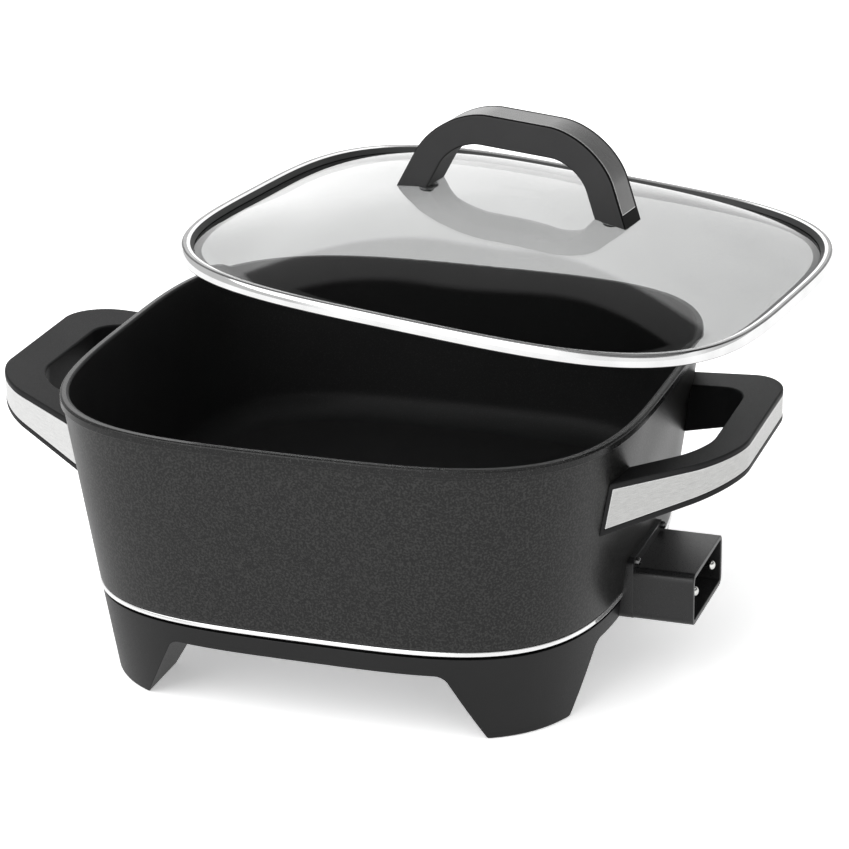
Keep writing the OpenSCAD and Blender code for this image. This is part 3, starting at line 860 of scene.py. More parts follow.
@dataclass
class Pan:
    """Deep square cast pan with its rim bead, ribs for the element and bosses for the base."""

    rim_half: float = field(default_factory=lambda: box_mm("pan")[1].y)
    rim_z: float = field(default_factory=lambda: box_mm("pan")[1].z)
    seat_z: float = field(default_factory=lambda: box_mm("trim_ring")[1].z)
    bead_h: float = 4.0
    bead_out: float = 1.1
    bead_r: float = 0.5
    rim_r: float = 1.2
    lean: float = 11.5
    wall: float = 3.4
    wall_r: float = 1.1
    lip_h: float = 3.9
    lip_w: float = 8.0
    foot_r: float = 1.4
    floor: float = 6.7
    floor_cap: float = 20.0
    fillet: float = 14.0
    rib_half: Span = (75.7, 88.3)
    rib_t: float = 2.5
    rib_h: float = 6.0
    boss_r: float = 5.5
    boss_h: float = 10.6
    boss_draft: float = 0.4

    def wall_half(self, z: float) -> float:
        """Half width of the wall's outside at a height.

        Args:
            z: the height.

        Returns:
            Half the width.
        """
        top = self.rim_half - self.bead_out
        bead_z = self.rim_z - self.bead_h
        return top - self.lean * (bead_z - z) / (bead_z - self.seat_z)

    def profile(self) -> list[Ring]:
        """Draws the profile in one line from underneath, over the rim, to the inside.

        Returns:
            Rings from the middle of the underside to the middle of the floor.
        """
        coated, rim, inside, bare = PanFace
        seat, top = self.seat_z, self.rim_z
        under = seat + self.lip_h
        bottom = under + self.floor
        foot = self.wall_half(seat)
        bead_z = top - self.bead_h
        inner = self.wall_half(top) - self.wall
        fillet_z = bottom + self.fillet
        inner_foot = self.wall_half(fillet_z) - self.wall
        lip = foot - self.lip_w
        rings = [Ring(self.floor_cap, under, bare), Ring(lip - self.lip_h, under, bare),
                 Ring(lip, seat, bare), Ring(foot - self.foot_r, seat, bare)]
        rings += curve(foot - self.foot_r + 0.1, seat + self.foot_r, self.foot_r, -80, 0, 4)
        rings += [Ring(self.wall_half(z), z, coated)
                  for z in (seat + 3, seat + 30, top - 30, bead_z - 1.0, bead_z - 0.2)]
        rings += [Ring(self.wall_half(bead_z) + 0.25, bead_z, coated)]
        rings += curve(self.rim_half - self.bead_r, bead_z + self.bead_r, self.bead_r, -75, 0, 4)
        rings += curve(self.rim_half - self.rim_r, top - self.rim_r, self.rim_r, 10, 90, 6, rim)
        rings += [Ring(inner + self.wall_r + 0.2, top, rim)]
        rings += curve(inner + self.wall_r, top - self.wall_r, self.wall_r, 80, 180, 4, inside)
        rings += [Ring(self.wall_half(z) - self.wall, z, inside) for z in (top - 4, top - 40)]
        rings += curve(inner_foot - self.fillet, fillet_z, self.fillet, -3, -90, 12, inside)
        return rings + [Ring(self.floor_cap, bottom, inside)]

    def build(self) -> None:
        """Models and dresses the pan, with the ribs and bosses on its bare underside."""
        bare = PanFace.BARE
        shape = Shape()
        shape.loft(self.profile(), Ends.CAPPED)
        top = self.seat_z + self.lip_h + OVERLAP
        low = top - OVERLAP - self.rib_h
        for half in self.rib_half:
            inner, outer = half - self.rib_t / 2, half + self.rib_t / 2
            shape.loft([Ring(inner, top, bare), Ring(inner, low, bare), Ring(outer, low, bare),
                        Ring(outer, top, bare)], Ends.JOINED, RIB_PLAN)
        for place in base_corners():
            boss = [Ring(self.boss_r, top - self.boss_h, bare),
                    Ring(self.boss_r + self.boss_draft, top, bare)]
            shape.move(place, shape.loft(boss, Ends.CAPPED, ROUND))
        Piece("pan_body", Body.SKILLET, Slot.COATING, "pan").make(
            shape, (COATING, RIM_EDGE, NON_STICK, BARE_CASTING))


@dataclass
class Base:
    """Moulded skirt with four legs, and the bright ring between it and the pan."""

    top: float = field(default_factory=lambda: box_mm("base_frame")[1].z)
    top_half: float = field(default_factory=lambda: box_mm("base_frame")[1].y)
    leg_h: float = 32.7
    inset: float = 6.0
    skirt_wall: float = 8.0
    step: float = 1.6
    foot_w: float = 35.0
    foot_d: float = 42.0
    flare: float = 17.0
    gap_r: float = 6.0
    gap_reach: float = 200.0
    tab_t: float = 3.0
    tab_up: float = 3.0
    tab_draft: float = 0.02
    foot_edge: Sequence[Span] = ((0.0, 1.0), (0.3, 0.3), (1.0, 0.0))
    cavity_down: float = 0.5
    edge_r: float = 0.35
    ring_w: float = 5.0
    ring_r: float = 0.45
    ring_lean: float = 0.3

    def half(self, z: float) -> float:
        """Half width of the base's outside at a height."""
        return self.top_half - self.inset * (self.top - z) / self.top

    def leg_gap(self, half: float, flare: float) -> Shape:
        """Free space between two legs, front to back, with leaning sides and round shoulders.

        Args:
            half: half its width at the floor.
            flare: how far its sides lean in up to the legs' tops.

        Returns:
            The space, as a shape to carve with.
        """
        gap = Shape()
        low, high, back = half + flare / self.leg_h, half - flare, -self.gap_reach
        gap.polygon([(-low, back, -OVERLAP), (low, back, -OVERLAP), (high, back, self.leg_h),
                     (-high, back, self.leg_h)])
        corner = math.pi - math.atan2(self.leg_h, flare)
        gap.round_corners(lambda place: place.z > 0, self.gap_r, corner, 6)
        gap.raise_face((0, 2 * self.gap_reach, 0))
        return gap

    def frame_shape(self) -> Shape:
        """Draws the skirt and legs, stepped at the top for the shadow gap.

        Returns:
            The moulding without its tabs.
        """
        shape = Shape()
        step_z = self.top - self.step
        neck = self.half(step_z) - self.step
        foot = [Ring(self.half(z) - back, z) for z, back in self.foot_edge]
        shape.loft(foot + [Ring(self.half(z), z) for z in (self.leg_h, step_z)]
                   + [Ring(neck, step_z), Ring(neck, self.top)], Ends.CAPPED)
        cavity = Shape()
        inside = self.half(self.leg_h) - self.skirt_wall
        cavity.loft([Ring(inside, z) for z in (self.leg_h - self.cavity_down, self.top + OVERLAP)],
                    Ends.CAPPED)
        shape.carve(cavity)
        foot_half = self.half(0)
        shape.carve(self.leg_gap(foot_half - self.foot_w, self.flare))
        side = self.leg_gap(foot_half - self.foot_d, self.flare * self.foot_w / self.foot_d)
        side.move(Matrix.Rotation(RIGHT_ANGLE, 4, "Z"))
        shape.carve(side)
        return shape

    def add_tabs(self, shape: Shape) -> None:
        """Draws the four tabs that the base's screws pass through.

        Args:
            shape: the moulding that gets them.
        """
        boss = Pan.boss_r
        low = self.leg_h + self.tab_up
        high = low + self.tab_t
        axis = base_corners()[-1].translation
        reach = SQUARE.across(self.half(low) - self.skirt_wall, axis.x) + OVERLAP
        tab = Shape()
        tab.loft([Ring(boss, low), Ring(boss, high)], Ends.CAPPED, ROUND)
        tab.box((-boss, 0, low + self.tab_draft), (boss, reach - axis.y, high - self.tab_draft))
        for place in base_corners():
            turn = Matrix.Diagonal((1, math.copysign(1, place.translation.y), 1, 1))
            shape.add(tab, place @ turn)

    def build(self) -> None:
        """Models and dresses the base, its ring and its screws."""
        shape = self.frame_shape()
        self.add_tabs(shape)
        # Painted shadow: the faces of the groove at the top of the skirt, under the trim ring, take
        # the black second finish.
        painted_shadow_z = self.top - self.step - FINE
        shape.mark(lambda face: int(face.calc_center_median().z > painted_shadow_z))
        Piece("base_moulding", Body.SKILLET, Slot.BASE, "base_frame").make(
            shape, (BASE_PLASTIC, SHADOW_BLACK), self.edge_r)
        low, high = box_mm("trim_ring")
        soft, inner = self.ring_r, high.y - self.ring_w
        ring = Shape()
        ring.loft([Ring(inner, low.z)] + curve(high.y - soft, low.z + soft, soft, -90, 0, 4)
                  + curve(high.y - soft - self.ring_lean, high.z - soft, soft, 16, 90, 4)
                  + [Ring(inner, high.z)], Ends.JOINED)
        Piece("trim_bead", Body.SKILLET, Slot.TRIM, "trim_ring").make(ring, (TRIM_STEEL,))
        fixing = Fixing.upright("base_screws")
        fixing.build(Piece("base_fixings", Body.SKILLET, Slot.SCREW, "base_screws"),
                     base_corners(box_mm("base_screws")[0].z + fixing.head_h))


@dataclass
class Socket:
    """Shroud round the two terminal pins, with the flange that is screwed to the pan's wall."""

    wall_x: Wall
    width: float = 53.0
    height: float = 25.0
    wall: float = 2.4
    corner_r: float = 4.0
    flange_t: float = 2.6
    flange_proud: float = 0.15
    flange_sunk: float = 0.3
    pin_d: float = 4.8
    pin_gap: float = 30.8
    pin_room: float = 2.0
    pin_root: float = 20.0
    pin_step: float = 0.3
    pin_soft: float = 0.2
    probe_d: float = 6.8
    probe_down: float = 1.8
    bore_in: float = 20.0
    bore_out: float = 3.0
    mouth_r: float = 0.5
    screw_shank: float = 2.6
    screw_turns: Span = (0.4, 1.1)

    def __post_init__(self) -> None:
        """Reads the places of the shroud and the pins."""
        self.low, self.high = box_mm("socket_shroud")
        self.pins_low, self.pins_high = box_mm("terminal_pins")
        self.middle_y = (self.low.y + self.high.y) / 2
        self.pin_z = (self.pins_low.z + self.pins_high.z) / 2
        self.flange_x = self.wall_x(self.middle_y, self.high.z) + self.flange_t

    def plate(self, x: float, half: float, low: float, high: float) -> Shape:
        """Draws an upright face with round corners.

        Args:
            x: its distance from the pan's middle.
            half: half its width.
            low: height of its lower edge.
            high: height of its upper edge.

        Returns:
            The face as a shape.
        """
        shape = Shape()
        shape.polygon([(x, -half, low), (x, half, low), (x, half, high), (x, -half, high)])
        shape.round_corners(every, self.corner_r, RIGHT_ANGLE, 6)
        return shape

    def tube(self) -> Shape:
        """Draws the hollow tube with its rounded mouth.

        Returns:
            The tube.
        """
        mouth = self.high.x
        tube = self.plate(mouth, self.width / 2, -self.height / 2, self.height / 2)
        tube.raise_face((self.flange_x - mouth - OVERLAP, 0, 0))
        front = max(tube.bm.faces, key=lambda face: face.calc_center_median().x)
        tube.inset([front], self.wall)
        tube.raise_face((self.flange_x - mouth, 0, 0), front)
        bmesh.ops.delete(tube.bm, geom=[front], context="FACES_ONLY")
        tube.face_out()
        lips = tube.sharp_edges(lambda place: abs(place.x - mouth) < FINE)
        tube.round_edges(lips, self.mouth_r, 2)
        tube.move(Matrix.Translation((0, self.middle_y, self.low.z + self.height / 2)))
        return tube

    def flange(self) -> Shape:
        """Draws the flange, whose back follows the pan's wall.

        Returns:
            The flange.
        """
        flange = self.plate(self.flange_x, self.width / 2 + self.flange_proud,
                            self.low.z - self.flange_proud, self.high.z)
        flange.move(Matrix.Translation((0, self.middle_y, 0)))
        for vert in flange.raise_face((-self.flange_t, 0, 0)):
            vert.co.x = self.wall_x(vert.co.y, vert.co.z) - self.flange_sunk
        flange.face_out()
        front = flange.sharp_edges(lambda place: place.x > self.flange_x - FINE)
        flange.round_edges(front, self.mouth_r, 2)
        return flange

    def bores(self) -> Shape:
        """Draws the holes for the pins and the probe.

        Returns:
            The holes, as a shape to carve with.
        """
        bores = Shape()
        pin, probe_z = self.pin_d + self.pin_room, self.pin_z - self.probe_down
        ends = (self.flange_x - self.bore_in, self.flange_x + self.bore_out)
        for y, d, z in ((-self.pin_gap / 2, pin, self.pin_z), (0, self.probe_d, probe_z),
                        (self.pin_gap / 2, pin, self.pin_z)):
            verts = bores.loft([Ring(d / 2, x) for x in ends], Ends.CAPPED, ROUND)
            bores.move(Matrix.Translation((0, self.middle_y + y, z)) @ QUARTER_TURN, verts)
        return bores

    def add_pins(self) -> None:
        """Models and dresses the two terminal pins, which have rounded tips."""
        pins = Shape()
        low, high, radius = self.pins_low, self.pins_high, self.pin_d / 2
        neck, root, soft = radius - self.pin_step, low.x + self.pin_root, self.pin_soft
        for y in (low.y + radius, high.y - radius):
            verts = pins.loft([Ring(neck, low.x), Ring(neck, root), Ring(radius, root + soft)]
                              + curve(soft, high.x - radius, radius - soft, 0, 86, 8),
                              Ends.CAPPED, ROUND)
            pins.move(Matrix.Translation((0, y, self.pin_z)) @ QUARTER_TURN, verts)
        Piece("pin_rods", Body.SKILLET, Slot.PIN, "terminal_pins").make(pins, (PIN_METAL,))

    def add_screws(self) -> None:
        """Sets the two screws that hold the flange."""
        low, high = box_mm("socket_screws")
        fixing = Fixing(self.screw_shank, high.z - low.z, high.x - self.flange_x,
                        self.flange_x - low.x)
        head = fixing.head_d / 2
        places = [Matrix.Translation((self.flange_x, y, low.z + head)) @ QUARTER_TURN.inverted()
                  @ Matrix.Rotation(turn, 4, "Z")
                  for y, turn in zip((low.y + head, high.y - head), self.screw_turns)]
        fixing.build(Piece("socket_fixings", Body.SKILLET, Slot.SCREW, "socket_screws"), places,
                     DARK_SOCKET_SCREW)

    def build(self) -> None:
        """Models and dresses the shroud, its pins and its screws."""
        shroud = self.tube()
        shroud.add(self.flange(), Matrix.Identity(4))
        shroud.carve(self.bores())
        # The shroud takes the lighter copy of the base plastic, with painted light.
        Piece("socket_housing", Body.SKILLET, Slot.BASE, "socket_shroud").make(
            shroud, (SOCKET_PLASTIC_LIT,))
        self.add_pins()
        self.add_screws()


@dataclass
class SideHandle:
    """Loop handle with a steel band inlaid round its outside, drawn as the right one."""

    side: Side
    wall_x: Wall
    grip_half: float = 51.7
    slope: float = 0.4323
    arm_x: float = 130.12
    arm_w: float = 19.8
    grip_w: float = 17.4
    corner_r: float = 32.6
    gap_r: float = 23.0
    root_low: float = 92.0
    root_high: float = 115.0
    low_rise: float = 17.7
    high_rise: float = 10.3
    lip: float = 2.6
    edge_r: float = 1.1
    inner_r: float = 1.0
    band_t: float = 1.2
    band_r: float = 0.4
    seat: float = 1.3
    gap: float = 0.12
    wall_gap: float = 0.2
    end_facing: float = -0.6
    pocket_room: float = 0.4
    pocket_h: float = 25.0

    def __post_init__(self) -> None:
        """Reads how far the handle reaches."""
        self.node = f"{self.side.value}_handle"
        self.x1 = max(abs(corner.x) for corner in box_mm(self.node))
        self.gap_x = self.x1 - self.grip_w

    def level(self, x: float, upper: bool) -> float:
        """Height of the handle's top or underside.

        Args:
            x: distance from the pan's middle.
            upper: whether it is the top.

        Returns:
            The height.
        """
        share = (x - self.arm_x) / (self.x1 - self.arm_x)
        low, rise = (self.root_high, self.high_rise) if upper else (self.root_low, self.low_rise)
        return low + rise * share

    def half(self, x: float) -> float:
        """Half width of the loop's outside at a distance from the pan's middle."""
        return self.grip_half + self.slope * (self.x1 - x)

    def faces_gap(self, edge: BMEdge) -> bool:
        """Whether an edge lies on the finger gap's side.

        Args:
            edge: the edge.

        Returns:
            True on the gap's side.
        """
        place = (edge.verts[0].co + edge.verts[1].co) / 2
        return (abs(place.y) < self.half(place.x) - self.arm_w / 2
                and place.x < self.x1 - self.grip_w / 2)

    def body_shape(self) -> Shape:
        """Draws the loop with the seat for its band.

        Returns:
            The loop, with the seat's floor marked.
        """
        shape = Shape()
        root, gap = self.half(self.arm_x), self.half(self.gap_x) - self.arm_w
        shape.arch([(self.arm_x, root, 0), (self.x1, self.grip_half, 0)],
                   [(self.arm_x, root - self.arm_w, 0), (self.gap_x, gap, 0)],
                   Matrix.Diagonal((1, -1, 1)))
        corner = RIGHT_ANGLE + math.atan(self.slope)
        shape.round_corners(lambda place: place.x > self.x1 - NEAR, self.corner_r, corner, 20)
        shape.round_corners(lambda place: abs(place.x - self.gap_x) < NEAR, self.gap_r, corner, 14)
        upper = set(shape.raise_face((0, 0, 10)))
        ends = shape.corners(lambda place: place.x < self.arm_x + FINE)
        for vert in shape.bm.verts:
            vert.co.z = self.level(vert.co.x, vert in upper)
        for vert in ends:
            for _ in range(3):
                x = self.wall_x(vert.co.y, vert.co.z) + self.wall_gap
                vert.co.y += math.copysign(self.slope * (vert.co.x - x), vert.co.y)
                vert.co.x = x
                vert.co.z = self.level(x, vert in upper)
        shape.face_out()
        rims = [edge for edge in shape.bm.edges
                if (edge.verts[0] in upper) == (edge.verts[1] in upper)
                and not all(vert in ends for vert in edge.verts)]
        inner = [edge for edge in rims if self.faces_gap(edge)]
        shape.round_edges([edge for edge in rims if edge not in inner], self.edge_r, 3)
        shape.round_edges([edge for edge in inner if edge.is_valid], self.inner_r, 4)
        shape.face_out()
        middle = Vector(((self.arm_x + self.gap_x) / 2, 0, 0))
        outside = [face for face in shape.bm.faces
                   if abs(face.normal.z) < FLAT and face.normal.x >= self.end_facing
                   and face.normal.dot(face.calc_center_median() - middle) > 0
                   and not self.faces_gap(max(face.edges, key=lambda edge: edge.calc_length()))]
        shape.seat(outside, self.lip - self.edge_r, self.seat)
        return shape

    def screw_pockets(self, shape: Shape) -> list[Matrix]:
        """Sinks the pockets of the handle's screws from below.

        Args:
            shape: the loop.

        Returns:
            The places of the screws.
        """
        low, high = box_mm(f"{self.node}_screws")
        head = Fixing.head_d / 2
        top = low.z + Fixing.head_h
        x = max(abs(low.x), abs(high.x)) - head
        sign = 1 if self.side is Side.RIGHT else -1
        ends = (low.y + head, high.y - head)
        for y in ends:
            pocket = Shape()
            wide = head + self.pocket_room
            pocket.loft([Ring(wide, low.z - self.pocket_h), Ring(wide, top)], Ends.CAPPED, ROUND)
            pocket.move(Matrix.Translation((x, y, 0)))
            shape.carve(pocket)
        return [Matrix.Translation((sign * x, y, top)) for y in ends]

    def build(self) -> None:
        """Models and dresses the handle, its band and its screws."""
        body = self.body_shape()
        band = body.lift_inlay(self.gap, self.band_t, self.band_r)
        body.mark(lambda face: 0)
        places = self.screw_pockets(body)
        # The right band takes the darker copy, with painted shade, and the left band the lighter
        # copy, with painted light.
        steel = RIGHT_BAND_SHADED
        if self.side is Side.LEFT:
            steel = LEFT_BAND_LIT
            for shape in (body, band):
                shape.move(Matrix.Diagonal((-1, 1, 1, 1)))
        name = f"{self.side.value}_grip"
        Piece(name, Body.SKILLET, Slot.HANDLE, self.node).make(body, (HANDLE_PLASTIC,))
        # The band's rounded edges take the painted highlight.
        Piece(f"{name}_band", Body.SKILLET, Slot.BRUSHED, f"{self.node}_band").make(
            band, (steel, EDGE_HIGHLIGHT))
        screws = Piece(f"{name}_fixings", Body.SKILLET, Slot.SCREW, f"{self.node}_screws")
        Fixing.upright(screws.node).build(screws, places)


@dataclass
class Lid:
    """Domed glass in a rolled steel band, with an arched handle, drawn from the lid's underside."""

    place: Matrix
    half: float
    band_h: float = 6.0
    flange_w: float = 9.0
    flange_r: float = 0.6
    flange_in: float = 0.75
    lip_w: float = 4.2
    lip_drop: float = 2.4
    sheet: float = 0.8
    wall_r: float = 7.8
    wall_z: float = 0.65
    wall_turn: Span = (-10.0, 26.0)
    glass_half: float = 136.4
    glass_low: float = 0.9
    glass_t: float = 1.7
    glass_edge: float = 2.1
    glass_r: float = 1.0
    dome_half: float = 132.2
    dome_rise: float = 26.3
    dome_power: float = 2.05
    dome_steps: int = 24
    knob_h: float = 36.6
    foot_half: float = 55.3
    foot_down: float = 9.0
    foot_gap: float = 0.2
    top_half: float = 39.4
    corner_r: float = 38.0
    gap_r: float = 21.0
    limb: float = 14.6
    top_t: float = 14.6
    depth: float = 21.6
    edge_r: float = 0.9
    strip_edge: float = 1.7
    strip_t: float = 1.0
    strip_r: float = 0.45
    strip_up: float = 4.0
    strip_gap: float = 0.12
    strip_end: float = 16.0
    strip_middle: float = 4.0
    seat_room: float = 0.1
    collar_room: float = 10.0
    shaded_border_facing: float = 0.8
    screw_x: float = 46.05
    screw_in: float = 8.0
    screw_turn: float = 0.5
    washer_t: float = 1.5
    washer_d: float = 11.0
    washer_r: float = 0.5
    washer_gap: float = 0.2
    washer_room: float = 0.1

    def __post_init__(self) -> None:
        """Works out the heights that the lid's pieces share."""
        self.dome_foot = self.glass_low + self.glass_edge
        self.crown = self.dome_foot + self.dome_rise
        self.lean = (self.foot_half - self.top_half) / self.knob_h

    def dome_top(self, x: float, y: float) -> float:
        """Height of the top of the glass over a point."""
        share = math.hypot(x, y) / (self.dome_half * SQUARE.reach(math.atan2(y, x)))
        return self.dome_foot + self.dome_rise * (1 - share ** self.dome_power)

    def glass(self) -> Shape:
        """Draws the domed glass, which thins to a flat ground edge.

        Returns:
            The glass.
        """
        shape = Shape()
        halves = [self.dome_half * (i + 1) / self.dome_steps for i in range(self.dome_steps)]
        upper = [Ring(half, self.dome_top(half, 0)) for half in halves]
        lower = [Ring(half, max(z - self.glass_t, self.glass_low)) for half, z, _ in upper]
        soft = self.glass_r
        edge = curve(self.glass_half - soft, self.glass_low + soft, soft, -90, 0, 3)
        edge += curve(self.glass_half - soft, self.dome_foot - soft, soft, 0, 90, 3)
        shape.loft(lower + edge + upper[::-1], Ends.CAPPED)
        return shape

    def band(self) -> Shape:
        """Draws the rolled channel that holds the edge of the glass.

        Returns:
            The band.
        """
        # The band's second finish is painted shade, on the flange and under the lip, and its third
        # a painted shade line along the top of the roll.
        bright, dark, shade_line = BandFace
        low, high = (math.radians(turn) for turn in self.wall_turn)
        flange, lip, inner = (self.half - width for width in
                              (self.flange_w, self.lip_w, 2 * self.sheet))
        wall_z = self.wall_z - self.wall_r * math.sin(low)
        wall = curve(self.half - self.wall_r, wall_z, self.wall_r, *self.wall_turn, 8)
        roll = (self.band_h - wall[-1].z) / (1 - math.sin(high))
        rings = [Ring(flange, 0.0, dark)]
        rings += curve(self.half - self.flange_in, self.flange_r, self.flange_r, -90, -14, 4, dark)
        rings += wall
        turned = wall[-1].half - roll * math.cos(high)
        # Painted shade line: the top of the roll and the outer edge of the lip.
        rings += curve(turned, self.band_h - roll, roll, 34, 90, 6, shade_line)
        edge = rings[-1].half
        down = self.lip_drop
        rolled_lip = ((edge - 0.1, 0.01, shade_line), (edge - 1.0, 0.1, shade_line),
                      (edge - 1.1, 0.12, bright), (lip + 0.1, 0.43, bright),
                      (lip, 0.48, dark), (lip - 0.1, 0.6, dark),
                      (lip - 1.5, down, dark), (lip - 1.6, down + 0.25, dark),
                      (lip - 1.45, down + 0.5, dark), (lip, 1.0, dark), (inner, 0.9, dark))
        rings += [Ring(half, self.band_h - drop, finish) for half, drop, finish in rolled_lip]
        rings += [Ring(inner, self.sheet, dark), Ring(flange, self.sheet, dark)]
        shape = Shape()
        shape.loft(rings, Ends.JOINED)
        return shape

    def limb_half(self, z: float) -> float:
        """Half width of the handle's outside at a height."""
        return self.foot_half - self.lean * (z - self.crown)

    def is_outer(self, face: BMFace) -> bool:
        """Whether a face lies on the outside of the arch.

        Args:
            face: the face.

        Returns:
            True on the outside.
        """
        place = face.calc_center_median()
        return (abs(place.x) > self.limb_half(place.z) - self.limb / 2
                or place.z > self.crown + self.knob_h - self.top_t / 2)

    def handle(self) -> Shape:
        """Draws the arched handle with the seat for its strip.

        Returns:
            The handle, with the seat's floor marked.
        """
        shape = Shape()
        top_z = self.crown + self.knob_h
        gap_top = top_z - self.top_t
        level = self.crown - self.foot_down
        collar = level + self.strip_end
        foot, front = self.limb_half(level), -self.depth / 2
        shape.arch([(foot, front, level), (self.limb_half(collar), front, collar),
                    (self.top_half, front, top_z)],
                   [(foot - self.limb, front, level),
                    (self.limb_half(gap_top) - self.limb, front, gap_top)],
                   Matrix.Diagonal((-1, 1, 1)))
        corner = RIGHT_ANGLE + math.atan(self.lean)
        shape.round_corners(lambda place: place.z > top_z - NEAR, self.corner_r, corner, 20)
        shape.round_corners(lambda place: abs(place.z - gap_top) < NEAR, self.gap_r, corner, 16)
        shape.raise_face((0, self.depth, 0))
        ends = shape.corners(lambda place: abs(place.z - level) < NEAR)
        collars = shape.corners(lambda place: abs(place.z - collar) < NEAR
                                and abs(place.x) > self.foot_half - self.collar_room)
        for verts, up in ((ends, self.foot_gap), (collars, self.strip_up)):
            for vert in verts:
                vert.co.z = self.dome_top(vert.co.x, vert.co.y) + up
                outer = self.limb_half(vert.co.z)
                inside = verts is ends and abs(vert.co.x) < outer - self.limb / 2
                vert.co.x = math.copysign(outer - self.limb * inside, vert.co.x)
        shape.face_out()
        rims = [edge for edge in shape.sharp_edges() if not all(vert in ends for vert in edge.verts)
                and abs(edge.verts[0].co.y - edge.verts[1].co.y) < NEAR]
        shape.round_edges(rims, self.edge_r, 3)
        shape.face_out()
        middle = Vector((0, 0, self.crown + self.strip_middle))
        strip_low = min((vert.co.z for vert in collars if vert.is_valid), default=self.crown)
        outside = [face for face in shape.bm.faces if abs(face.normal.y) < FLAT
                   and face.normal.dot(face.calc_center_median() - middle) > 0
                   and face.calc_center_median().z > strip_low and self.is_outer(face)]
        shape.seat(outside, self.strip_edge - self.edge_r, self.strip_t + self.seat_room)
        return shape

    def washer(self) -> Shape:
        """Draws one of the soft washers between the screws and the glass.

        Returns:
            The washer.
        """
        washer = Shape()
        soft, bore = self.washer_r, Fixing.shank_d / 2 + self.washer_room
        out, top = self.washer_d / 2 - soft, self.washer_t
        washer.loft([Ring(bore, 0)] + curve(out, soft, soft, -90, 0, 3)
                    + curve(out, top - soft, soft, 0, 90, 3) + [Ring(bore, top)],
                    Ends.JOINED, ROUND)
        return washer

    def build(self) -> None:
        """Models and dresses the lid."""
        glass, band, handle = self.glass(), self.band(), self.handle()
        strip = handle.lift_inlay(self.strip_gap, self.strip_t, self.strip_r)
        # Painted shade: the outside of the arch, which the strip mostly covers, takes the black,
        # apart from faces turned to the front and back.
        handle.mark(lambda face: int(abs(face.normal.y) < self.shaded_border_facing
                                     and self.is_outer(face)))
        under = self.dome_top(self.screw_x, 0) - self.glass_t - self.washer_t - self.washer_gap
        places = [self.place @ Matrix.Translation((x * self.screw_x, 0, under))
                  @ Matrix.Rotation(x * self.screw_turn, 4, "Z") for x in (-1, 1)]
        for shape, finishes, name, slot, node in (
                (glass, (LID_GLASS,), "glass_dome", Slot.GLASS, "lid_glass"),
                (band, (POLISHED_BAND, BAND_PAINTED_SHADE, BAND_PAINTED_LINE), "rolled_band", Slot.POLISHED,
                 "lid_band"),
                (handle, (LID_GRIP_PLASTIC_LIT, SHADOW_BLACK), "lid_grip", Slot.HANDLE, "lid_handle"),
                (strip, (STRIP_STEEL_SHADED, EDGE_HIGHLIGHT), "lid_grip_strip", Slot.BRUSHED,
                 "lid_handle_strip")):
            shape.move(self.place)
            Piece(name, Body.LID, slot, node).make(shape, finishes)
        Fixing(length=self.crown + self.screw_in - under).build(
            Piece("lid_grip_fixings", Body.LID, Slot.SCREW, "lid_handle_screws"), places)
        washers = Shape()
        for place in places:
            washers.add(self.washer(), place)
        Piece("lid_grip_washers", Body.LID, Slot.RUBBER, "lid_handle_washers").make(
            washers, (SILICONE,))


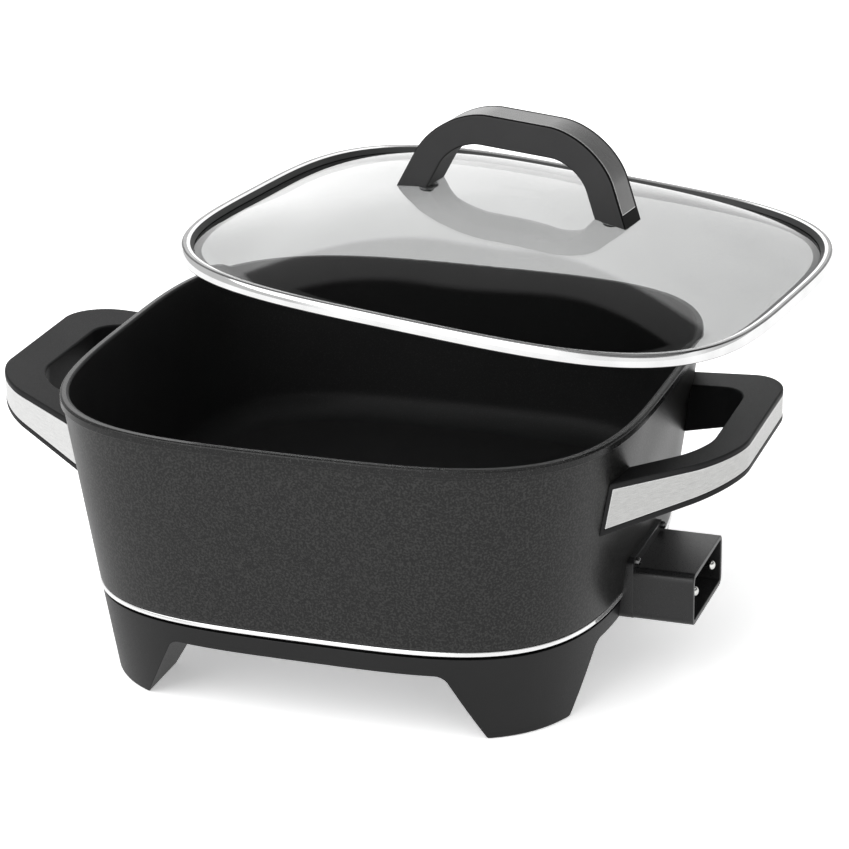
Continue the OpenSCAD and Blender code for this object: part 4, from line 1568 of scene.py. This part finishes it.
@dataclass
class Studio:
    """Pale floor, white surround, soft key lamp and the camera."""

    floor_half: float = 9.0
    floor_grain: float = 300.0
    floor_paint: float = 0.72
    floor_seen: float = 1.25
    floor_glow: float = 0.35
    ambient: float = 0.85
    key_strength: float = 1.2
    key_angle: float = 60.0
    key_way: Point = (-0.6, -0.8, 1.0)
    aim: Point = (0.0129, 0.0116, 0.0975)
    azimuth: float = 19.0
    elevation: float = 21.15
    roll: float = -0.76
    distance: float = 1.5522
    lens: float = 140.71
    sensor: float = 36.0
    far: float = 50.0
    mirrored_sky: Sequence[Span] = ((0.0, 1.0), (0.545, 1.0), (0.57, 0.22), (0.695, 0.19),
                                    (0.71, 0.015), (0.86, 0.015), (0.92, 0.8), (1.0, 0.8))
    mirrored_lean: float = 0.25
    mirrored_sides: Sequence[Span] = ((0.21, 0.6), (0.29, 1.58), (0.65, 1.0))
    mirrored_back: Sequence[Span] = ((0.80, 1.0), (0.91, 0.6))
    back_way: Point = (0.5, 0.8, 0.0)

    def floor(self) -> None:
        """Lays the floor, which glows a little where it is looked at and keeps the shadow."""
        bm = bmesh.new()
        bmesh.ops.create_grid(bm, x_segments=1, y_segments=1, size=self.floor_half)
        mesh = bpy.data.meshes.new("studio_floor")
        bm.to_mesh(mesh)
        bm.free()
        floor = bpy.data.objects.new("studio_floor", mesh)
        bpy.context.collection.objects.link(floor)
        graph = Graph("pale_floor")
        path = graph.add("ShaderNodeLightPath", {})
        grain = graph.spread(graph.noise(self.floor_grain), 0.3, 0.7, 0.99, 1.01)
        paint = graph.spread(path["Is Camera Ray"], 0.0, 1.0, self.floor_paint, self.floor_seen)
        seen = graph.any_of(path, "Is Camera Ray", *MIRRORED)
        mesh.materials.append(graph.finish({
            "Base Color": graph.blend("MULTIPLY", grain, paint), "Roughness": 1.0,
            "Specular IOR Level": 0.0, "Emission Color": WHITE,
            "Emission Strength": graph.blend("MULTIPLY", seen, self.floor_glow)}))

    @staticmethod
    def along(graph: Graph, way: Point, start: float, stops: Sequence[Span]) -> Value:
        """Brightness of the mirrored surround by how far a ray runs along a way.

        Args:
            graph: the world's graph.
            way: the way.
            start: how far along it the stops begin; they end at 1.
            stops: pairs of place, from 0 to 1, and brightness.

        Returns:
            The socket with the brightness.
        """
        run = graph.add("ShaderNodeVectorMath", {0: graph.place["Generated"], 1: way},
                        operation="DOT_PRODUCT")["Value"]
        colour = graph.add("ShaderNodeValToRGB", {"Fac": graph.spread(run, start, 1.0)})["Color"]
        elements = colour.node.color_ramp.elements
        while len(elements) < len(stops):
            elements.new(0.5)
        for element, (position, level) in zip(elements, stops):
            element.position = position
            element.color = (*grey(level), 1.0)
        return colour

    def surround(self) -> None:
        """Surrounds the object with even light; reflections show white with a dark ceiling."""
        graph = Graph("studio_surround", "worlds", "Background")
        bpy.context.scene.world = graph.finish({"Color": WHITE, "Strength": self.ambient})
        sides = self.along(graph, (1, 0, 0), -1.0, self.mirrored_sides)
        back = self.along(graph, self.back_way, -1.0, self.mirrored_back)
        gleam = graph.add("ShaderNodeBackground", {
            "Color": self.along(graph, (self.mirrored_lean, 0, 1), 0.0, self.mirrored_sky),
            "Strength": graph.blend("MULTIPLY", sides, back)})[0]
        sight = graph.add("ShaderNodeBackground", {"Color": WHITE})[0]
        path = graph.add("ShaderNodeLightPath", {})
        unseen = graph.choose(graph.any_of(path, *MIRRORED), graph.shader.outputs[0], gleam)
        graph.show(graph.choose(path["Is Camera Ray"], unseen, sight), "World Output")

    def key(self) -> None:
        """Hangs the wide soft key lamp at the upper left, in front."""
        lamp = bpy.data.lights.new("soft_key", "SUN")
        lamp.energy = self.key_strength
        lamp.angle = math.radians(self.key_angle)
        key = bpy.data.objects.new("soft_key", lamp)
        key.rotation_euler = Vector(self.key_way).to_track_quat("Z", "Y").to_euler()
        bpy.context.collection.objects.link(key)

    def camera(self) -> None:
        """Stands the camera at the photograph's angle."""
        data = bpy.data.cameras.new("camera")
        data.lens = self.lens
        data.sensor_width = self.sensor
        data.clip_end = self.far
        camera = bpy.data.objects.new("camera", data)
        turn = (Matrix.Rotation(math.radians(self.azimuth), 4, "Z")
                @ Matrix.Rotation(math.radians(90 - self.elevation), 4, "X")
                @ Matrix.Rotation(math.radians(self.roll), 4, "Z"))
        back = Matrix.Translation((0, 0, self.distance))
        camera.matrix_world = Matrix.Translation(self.aim) @ turn @ back
        bpy.context.collection.objects.link(camera)
        bpy.context.scene.camera = camera

    def build(self) -> None:
        """Sets up the whole studio."""
        bpy.context.scene.view_settings.view_transform = "Standard"
        self.floor()
        self.surround()
        self.key()
        self.camera()


def dress_solids() -> None:
    """Gives the solids that stay in sight from below their finishes."""
    finishes = {"heating_element": SHEATH, "terminal_collars": CERAMIC, "probe_guide": BARE_CASTING}
    for node, finish in finishes.items():
        for slot in frame["nodes"][node].material_slots:
            slot.material = dressed(finish)
        LOG.info("%s: dressed as %s", node, finish.name)


def lid_place(rim_z: float) -> Matrix:
    """Place of the lid as it is shown, in mm, from the joint that lifts it off the rim.

    Args:
        rim_z: height of the pan's rim.

    Returns:
        The place of the lid's underside.
    """
    joint = frame["joints"][0]
    pivot = Vector(joint["pos_m"]) / MM
    turn = Matrix.Rotation(-math.radians(joint["range_deg"][0]), 4, Vector(joint["axis"]))
    lift = Matrix.Translation((0, 0, rim_z + RIM_GAP))
    return Matrix.Translation(pivot) @ turn @ Matrix.Translation(-pivot) @ lift


def main() -> None:
    """Builds every piece in order."""
    logging.basicConfig(level=logging.INFO, format="%(message)s")
    Studio().build()
    pan, base = Pan(), Base()

    def wall_x(y: float, z: float) -> float:
        """Outside of the pan's wall, or of the base under it, at a place on its side."""
        half = pan.wall_half(z) if z > pan.seat_z else base.half(z)
        return SQUARE.across(half, y)

    pan.build()
    base.build()
    Socket(wall_x).build()
    for side in Side:
        SideHandle(side, wall_x).build()
    Lid(lid_place(pan.rim_z), pan.rim_half + LID_OVERHANG).build()
    dress_solids()


if __name__ == "__main__":
    main()
